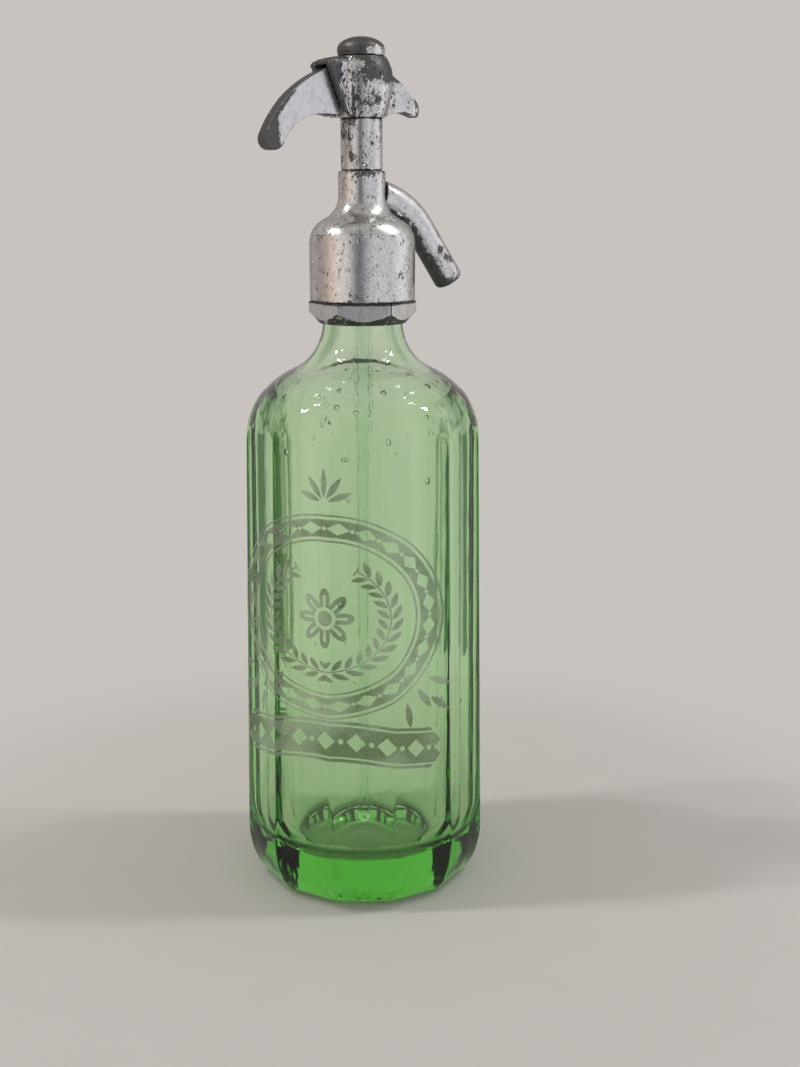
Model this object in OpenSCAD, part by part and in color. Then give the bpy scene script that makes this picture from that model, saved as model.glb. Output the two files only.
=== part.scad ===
// Soda siphon: fluted glass bottle with a screwed-on metal head, a curved spout
// and a long trigger lever that lifts the valve plunger.
// Millimetres. Origin on the bottle's axis at the table. +Z up, +X towards the spout.

/* [Bottle] */
// Diameter over the ridges, just above the heel
body_d_low = 99; // [95:0.5:103]
// Diameter over the ridges, where the shoulder starts
body_d_high = 94; // [91:0.5:97]
// Height at which the shoulder starts
body_h = 176; // [160:1:195]
// Diameter of the ring that the bottle stands on
ring_d = 76; // [72:1:80]
// Width of the flat of that ring
ring_w = 3; // [2:0.5:5]
// Height of the rounded heel
heel_h = 21; // [17:1:26]
// Rise of the hollow underside
punt_h = 4; // [2:0.5:6]
// Radius of the shoulder
shoulder_round = 34; // [30:1:36]
// Radius of the flare between shoulder and neck
flare_round = 20; // [16:1:24]
// Outside diameter of the neck
neck_d = 30.8; // [29.5:0.1:31.6]
// Bore of the neck
neck_bore_d = 19.6; // [18.6:0.1:20.6]
// Thickness of the side wall at the shoulder
bottle_wall = 7; // [5:0.5:8]
// Thickness of the glass under the inner floor
floor_t = 15; // [11:0.5:18]
// Radius between the inner floor and the wall
floor_round = 9; // [8:1:15]
// Number of flat panels round the body
panel_count = 12; // [8:2:16]
// Depth rounded off the ridges between the panels
ridge_round = 0.3; // [0.2:0.05:0.6]
// Diameter of the groove that the collar holds
groove_d = 26.8; // [25.8:0.1:27.6]
// Height of that groove
groove_h = 6; // [5:0.1:7]
// Height of the bead above the groove
bead_h = 9.2; // [8:0.1:11]

/* [Dip tube] */
// Outside diameter of the glass tube
tube_d = 7.4; // [6.6:0.1:8]
// Bore of the glass tube
tube_bore_d = 4.6; // [3.6:0.1:5]
// Gap between the tube's foot and the inner floor
tube_foot_gap = 5; // [3:0.5:9]
// Thickness of the rubber on the bottle's mouth
mouth_gasket_t = 2; // [1.5:0.1:3]
// Diameter of the bush's flange
bush_flange_d = 26; // [24:0.5:28]
// Thickness of the bush's flange
bush_flange_t = 2; // [1.5:0.1:2.5]
// Length of the bush's sleeve below the mouth
bush_sleeve_l = 6; // [4:0.5:9]
// Thickness of the rubber above the bush
bush_gasket_t = 1.5; // [1:0.1:2]

/* [Collar] */
// Width of the hexagon across its corners
hex_d = 41.6; // [40.5:0.1:43]
// Height of the hexagon
hex_h = 6; // [5:0.1:7]
// Height of the tapered lip under the hexagon
lip_h = 2.4; // [1.6:0.1:3]
// Turn of the hexagon's corners from +X
hex_turn = 33; // [0:1:60]
// Gap between the two halves
split_gap = 0.4; // [0.2:0.1:0.8]
// Height of the screwed sleeve above the hexagon
collar_sleeve_h = 7; // [5:0.5:8]

/* [Head] */
// Diameter of the skirt
skirt_d = 40.4; // [39.6:0.1:42]
// Bore of the skirt
skirt_bore_d = 36; // [35.4:0.1:36.8]
// Height of the straight part of the skirt
skirt_h = 21.7; // [20:0.1:26]
// Radius of the bell's shoulder
bell_round = 10; // [8:0.5:11]
// Radius of the flare above it
bell_flare = 9.5; // [8:0.5:11]
// Diameter of the head's neck
head_neck_d = 18; // [17.4:0.1:19]
// Height of the head's neck
head_neck_h = 9; // [7:0.5:12]
// Diameter of the valve chamber
chamber_d = 12.2; // [11.8:0.1:12.6]

/* [Spout] */
// Outside diameter of the spout
spout_d = 11.4; // [10.6:0.1:12]
// Bore of the spout
spout_bore_d = 8; // [6.5:0.1:8.6]
// Slope of the spout where it leaves the head, below level
spout_start_slope = 15; // [10:1:20]
// Slope of the outlet, below level
spout_end_slope = 56; // [50:1:62]
// Radius of the spout's bend
spout_bend = 30; // [27:1:33]
// Length of the straight outlet
spout_straight = 25; // [15:1:27]
// Bore between valve chamber and spout
passage_d = 7; // [5:0.1:7.4]

/* [Valve] */
// Height of the metal under the valve seat
inlet_h = 4.5; // [3:0.1:6]
// Bore of the valve seat
seat_bore_d = 5.2; // [4.8:0.1:5.4]
// Height of the seat ring
seat_h = 3; // [2.5:0.1:4]
// Height of the seat's raised lip
seat_lip_h = 1; // [0.6:0.1:1.4]
// Thickness of the rubber washer
washer_t = 2.4; // [2:0.1:3]
// Diameter of the rubber washer and its holder
washer_d = 9.6; // [8.6:0.1:10]
// Diameter of the plunger rod
rod_d = 4.4; // [4:0.1:4.6]
// Diameter of the lift pin through the rod
lift_pin_d = 2.2; // [1.8:0.1:2.4]

/* [Column] */
// Outside diameter of the column
column_d = 15.8; // [15:0.1:16.4]
// Length of the column between head and lever housing
column_h = 19; // [17:0.5:24]
// Bore of the stuffing box
box_bore_d = 8.4; // [8:0.1:9]
// Height of the packing
packing_h = 4; // [3:0.5:4.5]
// Height of the packing gland
gland_h = 4; // [3:0.5:4.5]
// Bore of the spring chamber
spring_bore_d = 10.4; // [10:0.1:10.8]
// Thickness of the ring between head and column
column_gasket_t = 0.3; // [0.3:0.1:0.8]
// Diameter of the spring's wire
wire_d = 0.9; // [0.7:0.05:1]
// Turns of the spring
spring_turns = 7; // [5:1:8]

/* [Lever housing] */
// Height of the lever housing
housing_h = 22; // [21.5:0.1:24]
// Greatest diameter of the housing
housing_d = 23.6; // [22.4:0.1:24.5]
// Diameter of the housing where it sits on the column
housing_foot_d = 17.2; // [16.8:0.1:18]
// Diameter of the housing's top
housing_top_d = 18.6; // [18.2:0.1:20]
// Width of the hood
hood_w = 13; // [12.8:0.1:14.5]
// Reach of the hood's lip from the axis
hood_reach = 17.2; // [16.5:0.1:18.5]
// Width of the slot that the lever moves in
slot_w = 9.6; // [9:0.1:10]
// Length of the finger rest, from the axis to its tip
rest_reach = 24.6; // [23:0.1:27]
// Diameter of the cap
cap_d = 17.9; // [17.2:0.1:18.6]
// Height of the cap
cap_h = 7.2; // [6:0.1:9]
// Diameter of the cap's screwed spigot
cap_spigot_d = 14.2; // [13.8:0.1:14.4]

/* [Lever] */
// Thickness of the lever
lever_t = 8; // [7:0.1:8.4]
// Thickness of the lever's tip
lever_tip_t = 6.6; // [6:0.1:7.6]
// Radius of the curve along the lever's middle
lever_bend = 28.5; // [26:0.5:31]
// Angle that this curve sweeps
lever_sweep = 61; // [52:1:66]
// Height of the lever where it leaves the hood
lever_root_h = 17.4; // [15.5:0.1:17.8]
// Height of the lever at its tip
lever_tip_h = 8; // [7:0.1:9]
// Distance of the fulcrum pin from the axis
pivot_x = 8; // [7.6:0.1:8.4]
// Height of the fulcrum pin above the housing's foot
pivot_h = 8; // [7.8:0.1:8.6]
// Diameter of the fulcrum pin
pin_d = 3; // [2.6:0.1:3.2]

/* [Hidden] */

// Clearances
fit_gap = 0.05;      // a shaft in its bore
seat_gap = 0.2;      // a loose seat
lift_gap = 0.3;      // lever toe under the lift pin, with the valve shut
through = 1;         // how far a cutter runs past a face

// Facets of round forms
round_fn = 96;
small_fn = 48;
arc_steps = 9;
slab_steps = 7;

// How far the panels' own heel runs above the heel of the round form
slab_heel_rise = 3;

// Finish colours
glass_green = [0.56, 0.78, 0.48, 0.6];
tube_glass = [0.80, 0.88, 0.80, 0.6];
worn_metal = [0.72, 0.71, 0.70];
dark_metal = [0.50, 0.49, 0.47];
brass = [0.72, 0.60, 0.32];
rubber = [0.16, 0.15, 0.14];
steel = [0.60, 0.61, 0.63];

// ---- outlines ------------------------------------------------------------

// Points of an arc about (cx, cz), from angle a to angle b
function arc(cx, cz, r, a, b, steps = arc_steps) =
    [for (i = [0:steps]) let (t = a + (b - a) * i / steps) [cx + r * cos(t), cz + r * sin(t)]];

// Angle at which a convex arc hands over to the concave one in a bell shoulder
function bell_angle(r_low, r_high, convex, concave) =
    acos((r_high + concave - r_low + convex) / (convex + concave));

// Rise of such a shoulder
function bell_rise(r_low, r_high, convex, concave) =
    (convex + concave) * sin(bell_angle(r_low, r_high, convex, concave));

// Outline of such a shoulder, from its lower edge to the neck
function bell(r_low, z_low, r_high, convex, concave) =
    let (a = bell_angle(r_low, r_high, convex, concave))
    let (z_high = z_low + bell_rise(r_low, r_high, convex, concave))
    concat(arc(r_low - convex, z_low, convex, 0, a),
           arc(r_high + concave, z_high, concave, 180 + a, 180));

// ---- heights, from the table up --------------------------------------------

body_r_low = body_d_low / 2;
body_r_high = body_d_high / 2;
neck_r = neck_d / 2;
neck_z = body_h + bell_rise(body_r_high, neck_r, shoulder_round, flare_round);
neck_stub = 1.8;
groove_z = neck_z + neck_stub;
bead_z = groove_z + groove_h;
mouth_z = bead_z + bead_h;
tube_foot_z = floor_t + tube_foot_gap;
bush_z = mouth_z + mouth_gasket_t;
tube_top_z = bush_z + bush_flange_t;
inlet_z = tube_top_z + bush_gasket_t;
seat_z = inlet_z + inlet_h;
valve_z = seat_z + seat_h + seat_lip_h;
bell_z = bead_z + skirt_h;
head_neck_z = bell_z + bell_rise(skirt_d / 2, head_neck_d / 2, bell_round, bell_flare);
head_top_z = head_neck_z + head_neck_h;
column_z = head_top_z + column_gasket_t;
spigot_l = 4.5;
box_floor_t = 2;
packing_z = head_top_z - spigot_l + box_floor_t;
gland_z = packing_z + packing_h;
spring_bore_z = gland_z + gland_h;
housing_z = head_top_z + column_h;
socket_h = 3;
socket_floor_t = 1.6;
socket_d = 12.7;
slot_floor_z = housing_z + socket_h + socket_floor_t;
housing_top_z = housing_z + housing_h;
pivot_z = housing_z + pivot_h;
toe_r = 2.2;
lift_pin_z = pivot_z + toe_r + lift_gap + lift_pin_d / 2;
rod_top_z = lift_pin_z + 2.4;
spring_collar_h = 1.7;
spring_collar_z = spring_bore_z + 0.4;
spring_z = spring_collar_z + spring_collar_h + fit_gap;
spring_top_z = housing_z + socket_h - fit_gap;

// ---- bottle ----------------------------------------------------------------

// Heel, from the standing ring up to the body; reach is the body's radius there
function heel(ring_r, reach, height, steps) =
    [for (i = [0:steps]) let (t = i / steps)
        [ring_r + (reach - ring_r) * sin(90 * t), height * (1 - cos(90 * t))]];

module bottle_round() {
    rotate_extrude($fn = round_fn)
        polygon(concat([[0, punt_h], [ring_d / 2 - ring_w - 6, punt_h], [ring_d / 2 - ring_w, 0]],
                       heel(ring_d / 2, body_r_low, heel_h, arc_steps),
                       bell(body_r_high, body_h, neck_r, shoulder_round, flare_round),
                       [[neck_r, groove_z], [groove_d / 2, groove_z], [groove_d / 2, bead_z],
                        [neck_r, bead_z], [neck_r, mouth_z - 1], [neck_r - 1, mouth_z],
                        [0, mouth_z]]));
}

// A slab between two opposite panels: flat sides that lean in with the body.
// Its corners would stand ridge_round outside the round form, which cuts them off
module panel_slab() {
    flat = cos(180 / panel_count);
    taper = (body_r_low - body_r_high) / (body_h - heel_h);
    slab_heel_h = heel_h + slab_heel_rise;
    ring_reach = (ring_d / 2 + ridge_round) * flat;
    low_reach = (body_r_low + ridge_round - taper * slab_heel_rise) * flat;
    top_reach = (body_r_high + ridge_round - taper * (mouth_z - body_h)) * flat;
    side = concat([[ring_reach, -through]],
                  heel(ring_reach, low_reach, slab_heel_h, slab_steps),
                  [[top_reach, mouth_z + through]]);
    other_side = [for (i = [len(side) - 1:-1:0]) [-side[i][0], side[i][1]]];
    rotate([90, 0, 0])
        linear_extrude(height = body_d_low + 2 * through, center = true)
            polygon(concat(side, other_side));
}

module bottle_hollow() {
    bore_r = body_r_high - bottle_wall;
    wall_at_neck = (neck_d - neck_bore_d) / 2;
    rotate_extrude($fn = round_fn)
        polygon(concat([[0, floor_t]],
                       arc(bore_r - floor_round, floor_t + floor_round, floor_round, -90, 0),
                       bell(bore_r, body_h, neck_bore_d / 2,
                            shoulder_round - bottle_wall, flare_round + wall_at_neck),
                       [[neck_bore_d / 2, mouth_z + through], [0, mouth_z + through]]));
}

module bottle() {
    color(glass_green) difference() {
        intersection() {
            bottle_round();
            intersection_for (i = [0:panel_count / 2 - 1])
                rotate([0, 0, i * 360 / panel_count]) panel_slab();
        }
        bottle_hollow();
    }
}

// A plain ring, used by the tube, the gaskets and the bushes
module ring(r_out, r_in, z, h, fn = small_fn) {
    translate([0, 0, z]) difference() {
        cylinder(h = h, r = r_out, $fn = fn);
        translate([0, 0, -through]) cylinder(h = h + 2 * through, r = r_in, $fn = fn);
    }
}

module dip_tube() {
    color(tube_glass) ring(tube_d / 2, tube_bore_d / 2, tube_foot_z, tube_top_z - tube_foot_z);
}

module tube_bush() {
    color(worn_metal) {
        difference() {
            union() {
                translate([0, 0, mouth_z - bush_sleeve_l])
                    cylinder(h = bush_sleeve_l + mouth_gasket_t + fit_gap,
                             r = neck_bore_d / 2 - 0.6, $fn = small_fn);
                translate([0, 0, bush_z])
                    cylinder(h = bush_flange_t, r = bush_flange_d / 2, $fn = small_fn);
            }
            translate([0, 0, mouth_z - bush_sleeve_l - through])
                cylinder(h = bush_sleeve_l + mouth_gasket_t + bush_flange_t + 2 * through,
                         r = tube_d / 2 + fit_gap, $fn = small_fn);
        }
    }
}

module mouth_gasket() {
    color(rubber) ring(neck_r - 0.2, neck_bore_d / 2 + seat_gap, mouth_z, mouth_gasket_t);
}

module bush_gasket() {
    color(rubber) ring(tube_d / 2 + 4.2, tube_bore_d / 2 + 0.2, tube_top_z, bush_gasket_t);
}

// ---- collar ------------------------------------------------------------------

collar_lip_z = bead_z - hex_h - lip_h;
collar_sleeve_r = skirt_bore_d / 2 - seat_gap;

module collar_ring() {
    lip_r = neck_r + 1.2;
    chamfer = 2.2;
    difference() {
        union() {
            // hexagon, its underside turned to a cone, so that each flat ends in a scallop
            intersection() {
                translate([0, 0, collar_lip_z]) rotate([0, 0, hex_turn])
                    cylinder(h = hex_h + lip_h, r = hex_d / 2, $fn = 6);
                rotate_extrude($fn = round_fn)
                    polygon([[0, collar_lip_z], [lip_r, collar_lip_z],
                             [hex_d / 2 - chamfer, bead_z - hex_h],
                             [hex_d / 2 + 0.2, bead_z - hex_h + chamfer],
                             [hex_d / 2 + 0.2, bead_z], [0, bead_z]]);
            }
            translate([0, 0, bead_z - through])
                cylinder(h = collar_sleeve_h + through, r = collar_sleeve_r, $fn = round_fn);
        }
        // bore: round the neck, in the groove and round the bead
        rotate_extrude($fn = round_fn)
            polygon([[0, collar_lip_z - through], [neck_r + 0.25, collar_lip_z - through],
                     [neck_r + 0.25, groove_z + seat_gap], [groove_d / 2 + seat_gap, groove_z + seat_gap],
                     [groove_d / 2 + seat_gap, bead_z], [neck_r + seat_gap, bead_z],
                     [neck_r + seat_gap, mouth_z], [0, mouth_z]]);
    }
}

// Half of the collar on one side of the split; side is 1 or -1
module collar_half(side) {
    reach = hex_d;
    color(worn_metal) intersection() {
        collar_ring();
        rotate([0, 0, hex_turn - 120])
            translate([-reach, side > 0 ? split_gap / 2 : -reach - split_gap / 2, collar_lip_z - through])
                cube([2 * reach, reach, mouth_z - collar_lip_z]);
    }
}

module collar_lever_half() {
    collar_half(-1);
}

module collar_spout_half() {
    collar_half(1);
}

// ---- head --------------------------------------------------------------------

// The spout's path: it starts at the head's neck, bends down, then runs straight
spout_start_x = head_neck_d / 2 - 1;
spout_centre_x = spout_start_x - spout_bend * sin(spout_start_slope);
spout_centre_z = head_neck_z - spout_bend * cos(spout_start_slope);

// Bend of a round bar of radius r along the spout's path
module spout_curve(r) {
    translate([spout_centre_x, 0, spout_centre_z]) rotate([90, 0, 0])
        rotate_extrude(angle = spout_end_slope - spout_start_slope, start = 90 - spout_end_slope,
                       $fn = round_fn)
            translate([spout_bend, 0]) circle(r = r, $fn = small_fn);
}

// Places its children at the end of the bend, with +Z along the outlet
module at_spout_end() {
    translate([spout_centre_x + spout_bend * sin(spout_end_slope), 0,
               spout_centre_z + spout_bend * cos(spout_end_slope)])
        rotate([0, 90 + spout_end_slope, 0])
            children();
}

// Places its children at the start of the bend, with +Z pointing back into the head
module at_spout_start() {
    translate([spout_start_x, 0, head_neck_z])
        rotate([0, spout_start_slope - 90, 0])
            children();
}

module spout() {
    lip = 1.2;
    overlap = 0.3;
    step = 0.02;
    r = spout_d / 2;
    color(worn_metal) difference() {
        union() {
            spout_curve(r - step);
            at_spout_end() rotate_extrude($fn = small_fn)
                polygon(concat([[0, -overlap], [r, -overlap]],
                               arc(r - lip, spout_straight - lip, lip, 0, 90, 4),
                               [[0, spout_straight]]));
        }
        spout_curve(spout_bore_d / 2 - step);
        at_spout_end() translate([0, 0, -overlap])
            cylinder(h = spout_straight + overlap + through, r = spout_bore_d / 2, $fn = small_fn);
        at_spout_start() translate([0, 0, -overlap])
            cylinder(h = through, r = spout_bore_d / 2, $fn = small_fn);
    }
}

module head_outline() {
    edge = 0.4;
    rotate_extrude($fn = round_fn)
        polygon(concat([[0, bead_z], [skirt_d / 2 - edge, bead_z], [skirt_d / 2, bead_z + edge]],
                       bell(skirt_d / 2, bell_z, head_neck_d / 2, bell_round, bell_flare),
                       [[head_neck_d / 2, head_top_z - edge], [head_neck_d / 2 - edge, head_top_z],
                        [0, head_top_z]]));
}

module head_body() {
    chamber_r = chamber_d / 2;
    color(worn_metal) difference() {
        head_outline();
        // stepped bore, from the skirt up to the valve chamber
        rotate_extrude($fn = round_fn)
            polygon([[0, bead_z - through], [skirt_bore_d / 2, bead_z - through],
                     [skirt_bore_d / 2, bush_z], [bush_flange_d / 2 + 0.1, bush_z],
                     [bush_flange_d / 2 + 0.1, tube_top_z], [tube_d / 2 + 4.3, tube_top_z],
                     [tube_d / 2 + 4.3, inlet_z], [seat_bore_d / 2, inlet_z],
                     [seat_bore_d / 2, seat_z], [chamber_r, seat_z],
                     [chamber_r, head_top_z + through], [0, head_top_z + through]]);
        // saddle and socket of the spout
        spout_curve(spout_d / 2 + fit_gap);
        at_spout_start() translate([0, 0, -0.5])
            cylinder(h = 0.5 + fit_gap, r = spout_d / 2 + 2 * fit_gap, $fn = small_fn);
        at_spout_start()
            cylinder(h = spout_start_x, r = passage_d / 2, $fn = small_fn);
    }
}

// ---- valve and plunger ----------------------------------------------------------

module valve_seat() {
    lip_w = 1;
    color(brass) rotate_extrude($fn = small_fn)
        polygon([[seat_bore_d / 2, seat_z], [chamber_d / 2 - fit_gap, seat_z],
                 [chamber_d / 2 - fit_gap, seat_z + seat_h],
                 [seat_bore_d / 2 + lip_w, seat_z + seat_h],
                 [seat_bore_d / 2 + lip_w, valve_z], [seat_bore_d / 2, valve_z]]);
}

screw_r = 1;
screw_head_r = 2;
screw_l = 5;
washer_z = valve_z + fit_gap;
holder_z = washer_z + washer_t;
holder_h = 3;

module valve_washer() {
    color(rubber) ring(washer_d / 2, screw_r + fit_gap, washer_z, washer_t);
}

module valve_screw() {
    color(brass) translate([0, 0, washer_z]) {
        translate([0, 0, -1.4]) difference() {
            cylinder(h = 1.4, r = screw_head_r, $fn = small_fn);
            translate([-0.3, -screw_head_r - through, -through])
                cube([0.6, 2 * (screw_head_r + through), through + 0.6]);
        }
        translate([0, 0, -fit_gap]) cylinder(h = screw_l + fit_gap, r = screw_r, $fn = small_fn);
    }
}

module plunger_rod() {
    color(steel) difference() {
        rotate_extrude($fn = small_fn)
            polygon([[0, holder_z], [washer_d / 2, holder_z], [washer_d / 2, holder_z + holder_h - 1],
                     [washer_d / 2 - 1, holder_z + holder_h], [rod_d / 2, holder_z + holder_h],
                     [rod_d / 2, rod_top_z - 0.5], [rod_d / 2 - 0.5, rod_top_z], [0, rod_top_z]]);
        translate([0, 0, holder_z - through])
            cylinder(h = screw_l - washer_t + 0.3 + through, r = screw_r + fit_gap, $fn = small_fn);
        translate([0, 0, lift_pin_z]) rotate([90, 0, 0])
            cylinder(h = rod_d + 2 * through, r = lift_pin_d / 2 + 0.02, center = true, $fn = small_fn);
    }
}

module lift_pin() {
    color(steel) translate([0, 0, lift_pin_z]) rotate([90, 0, 0])
        cylinder(h = lever_t, r = lift_pin_d / 2, center = true, $fn = small_fn);
}

module spring_collar() {
    color(brass)
        ring(spring_bore_d / 2 - 0.4, rod_d / 2 + 0.02, spring_collar_z, spring_collar_h);
}

module stem_packing() {
    color(rubber) ring(box_bore_d / 2 - fit_gap, rod_d / 2 + fit_gap, packing_z, packing_h);
}

module packing_gland() {
    color(brass) ring(box_bore_d / 2 - fit_gap, rod_d / 2 + 0.1, gland_z, gland_h);
}

// Coil spring: one round wire swept along a helix
spring_r = spring_bore_d / 2 - 0.4 - wire_d / 2;
rings_per_turn = 8;
wire_sides = 6;
spring_low = spring_z + wire_d / 2 + fit_gap;
spring_high = spring_top_z - wire_d / 2 - fit_gap;
spring_pitch = (spring_high - spring_low) / spring_turns;

function wire_ring(i) =
    let (turn = i * 360 / rings_per_turn)
    let (z = spring_low + spring_pitch * i / rings_per_turn)
    [for (k = [0:wire_sides - 1]) let (a = k * 360 / wire_sides)
        let (r = spring_r + wire_d / 2 * cos(a))
        [r * cos(turn), r * sin(turn), z + wire_d / 2 * sin(a)]];

function quad(a, b, c, d) = [[a, b, c], [a, c, d]];

module return_spring() {
    last = spring_turns * rings_per_turn;
    points = [for (i = [0:last]) each wire_ring(i)];
    side_faces = [for (i = [0:last - 1]) for (k = [0:wire_sides - 1])
        let (n = (k + 1) % wire_sides)
        each quad(i * wire_sides + k, i * wire_sides + n,
                  (i + 1) * wire_sides + n, (i + 1) * wire_sides + k)];
    start_cap = [for (k = [1:wire_sides - 2]) [0, k + 1, k]];
    end_cap = [for (k = [1:wire_sides - 2])
        [last * wire_sides, last * wire_sides + k, last * wire_sides + k + 1]];
    color(steel) polyhedron(points = points, faces = concat(side_faces, start_cap, end_cap));
    neighbour = [for (i = [rings_per_turn:last])
        norm(wire_ring(i)[0] - wire_ring(i - rings_per_turn)[0]) - wire_d];
    echo(least_gap_between_spring_turns = min(neighbour));
}

// ---- column ------------------------------------------------------------------

spigot_r = chamber_d / 2 - fit_gap;
top_spigot_r = socket_d / 2 - fit_gap;

module column() {
    edge = 0.2;
    color(worn_metal) rotate_extrude($fn = round_fn)
        polygon([[rod_d / 2 + 0.3, packing_z - box_floor_t], [spigot_r, packing_z - box_floor_t],
                 [spigot_r, column_z], [column_d / 2 - edge, column_z],
                 [column_d / 2, column_z + edge], [column_d / 2, housing_z],
                 [top_spigot_r, housing_z], [top_spigot_r, housing_z + socket_h],
                 [spring_bore_d / 2, housing_z + socket_h], [spring_bore_d / 2, spring_bore_z],
                 [box_bore_d / 2, spring_bore_z], [box_bore_d / 2, packing_z],
                 [rod_d / 2 + 0.3, packing_z]]);
}

module column_gasket() {
    color(rubber) ring(column_d / 2 - 0.4, chamber_d / 2, head_top_z, column_gasket_t);
}

// ---- lever housing --------------------------------------------------------------

housing_belly_z = housing_z + 14.5;

// Radius of the egg-shaped block at height z
function egg_r(z) =
    z < housing_belly_z
    ? housing_d / 2 - (housing_d - housing_foot_d) / 2 * pow((housing_belly_z - z) / (housing_belly_z - housing_z), 2)
    : housing_d / 2 - (housing_d - housing_top_d) / 2 * pow((z - housing_belly_z) / (housing_top_z - housing_belly_z), 2);

module housing_block() {
    rotate_extrude($fn = round_fn)
        polygon(concat([[0, housing_z]],
                       [for (i = [0:12]) let (z = housing_z + housing_h * i / 12) [egg_r(z), z]],
                       [[0, housing_top_z]]));
}

// Side view of the hood: a roof, a lip and a mouth that slants back to the foot
hood_roof_z = housing_top_z - 0.6;
hood_lip_z = housing_top_z - 3.6;
hood_foot_x = -10.6;
hood_foot_z = housing_z + 1.7;

module hood_side(grow) {
    polygon(concat([[0, housing_z + 0.3], [0, hood_roof_z + grow]],
                   arc(-hood_reach + 4.6, hood_roof_z + grow - 3.4, 3.4, 90, 150, 4),
                   [[-hood_reach, hood_lip_z], [hood_foot_x, hood_foot_z],
                    [hood_foot_x + 2, housing_z + 0.3]]));
}

// Front view of the hood: straight cheeks and a rounded roof
module hood_front(grow) {
    r = 3;
    half = hood_w / 2 + grow;
    top = hood_roof_z + grow;
    polygon(concat([[half, housing_z]], arc(half - r, top - r, r, 0, 90, 5),
                   arc(-half + r, top - r, r, 90, 180, 5), [[-half, housing_z]]));
}

module extrude_y(w) {
    rotate([90, 0, 0]) linear_extrude(height = w, center = true) children();
}

module extrude_x(length) {
    rotate([90, 0, 90]) linear_extrude(height = length, center = true) children();
}

module hood() {
    rim_grow = 0.6;
    rim_w = 2.4;
    slant = atan2(hood_lip_z - hood_foot_z, hood_reach + hood_foot_x);
    intersection() {
        extrude_y(hood_w + 2) hood_side(0);
        extrude_x(3 * hood_reach) hood_front(0);
    }
    // raised rim round the mouth
    intersection() {
        extrude_y(hood_w + 4) hood_side(rim_grow);
        extrude_x(3 * hood_reach) hood_front(rim_grow);
        translate([hood_foot_x, 0, hood_foot_z]) rotate([0, slant - 90, 0])
            translate([-rim_w, -hood_w, -2]) cube([rim_w + 3, 2 * hood_w, housing_h]);
    }
}

// Drop-shaped finger rest opposite the lever
module finger_rest() {
    root_x = 8;
    tip_r = 2.8;
    tip_z = housing_z + 3.4;
    tip_shoulder = 44;
    top_centre = [-12.7, housing_z - 26.2];
    top_r = 48.2;
    a_root = acos((root_x - top_centre[0]) / top_r);
    a_tip = acos((rest_reach - tip_r * (1 - cos(tip_shoulder)) - top_centre[0]) / top_r);
    intersection() {
        extrude_y(hood_w)
            polygon(concat(arc(top_centre[0], top_centre[1], top_r, a_root, a_tip),
                           arc(rest_reach - tip_r, tip_z, tip_r, tip_shoulder - 8, -90, 8),
                           [for (i = [1:8]) let (t = i / 8)
                               [rest_reach - tip_r - (rest_reach - tip_r - root_x) * t,
                                tip_z - tip_r + 2.2 * sin(180 * t) * (1 - 0.4 * t)]]));
        linear_extrude(height = housing_top_z)
            polygon([[root_x - 1, -4.4], [rest_reach - 4, -3], [rest_reach - 1.3, -2.2],
                     [rest_reach, -0.8], [rest_reach, 0.8], [rest_reach - 1.3, 2.2],
                     [rest_reach - 4, 3], [root_x - 1, 4.4]]);
    }
}

cap_bore_depth = 5;

module lever_housing() {
    slot_back_x = 3.6;
    slot_roof_z = hood_lip_z + 0.2;
    wall_x = -socket_d / 2 - 1.3;
    color(worn_metal) difference() {
        union() {
            housing_block();
            hood();
            finger_rest();
        }
        // socket on the column, rod hole, screwed opening under the cap
        translate([0, 0, housing_z - through])
            cylinder(h = socket_h + through, r = socket_d / 2, $fn = small_fn);
        translate([0, 0, housing_z]) cylinder(h = housing_h, r = rod_d / 2 + 0.4, $fn = small_fn);
        translate([0, 0, housing_top_z - cap_bore_depth])
            cylinder(h = cap_bore_depth + through, r = cap_spigot_d / 2 + 0.1, $fn = small_fn);
        ring(cap_spigot_d / 2 + 1.1, cap_spigot_d / 2, housing_top_z - 0.7, 0.7 + through);
        // slot for the lever, open at the mouth and under the hood
        extrude_y(slot_w)
            polygon([[-2 * hood_reach, housing_z - 10], [wall_x, housing_z - 10],
                     [wall_x, slot_floor_z], [slot_back_x, slot_floor_z],
                     [slot_back_x, slot_roof_z], [-2 * hood_reach, slot_roof_z]]);
        // blind holes of the fulcrum pin
        translate([-pivot_x, 0, pivot_z]) rotate([90, 0, 0])
            cylinder(h = hood_w - 1, r = pin_d / 2 + 0.02, center = true, $fn = small_fn);
    }
}

module fulcrum_pin() {
    color(steel) translate([-pivot_x, 0, pivot_z]) rotate([90, 0, 0])
        cylinder(h = hood_w - 1.2, r = pin_d / 2, center = true, $fn = small_fn);
}

module cap_gasket() {
    color(rubber)
        ring(cap_spigot_d / 2 + 1.05, cap_spigot_d / 2 + 0.15, housing_top_z - 0.7, 0.7);
}

module top_cap() {
    side_h = 2.6;
    r = cap_d / 2;
    dome_h = cap_h - side_h;
    dome_steps = 9;
    color(dark_metal) rotate_extrude($fn = round_fn)
        polygon(concat([[cap_spigot_d / 2 - 1.6, housing_top_z - cap_bore_depth + 0.6],
                        [cap_spigot_d / 2, housing_top_z - cap_bore_depth + 0.6],
                        [cap_spigot_d / 2, housing_top_z], [r - 0.5, housing_top_z],
                        [r - 0.1, housing_top_z + 0.5], [r - 0.5, housing_top_z + 0.9],
                        [r, housing_top_z + 1.3]],
                       [for (i = [0:dome_steps]) let (a = 90 * i / dome_steps)
                           [r * cos(a), housing_top_z + side_h + dome_h * sin(a)]],
                       [[0, housing_top_z + 2.5], [cap_spigot_d / 2 - 1.6, housing_top_z + 2.5]]));
}

// ---- lever --------------------------------------------------------------------

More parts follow.
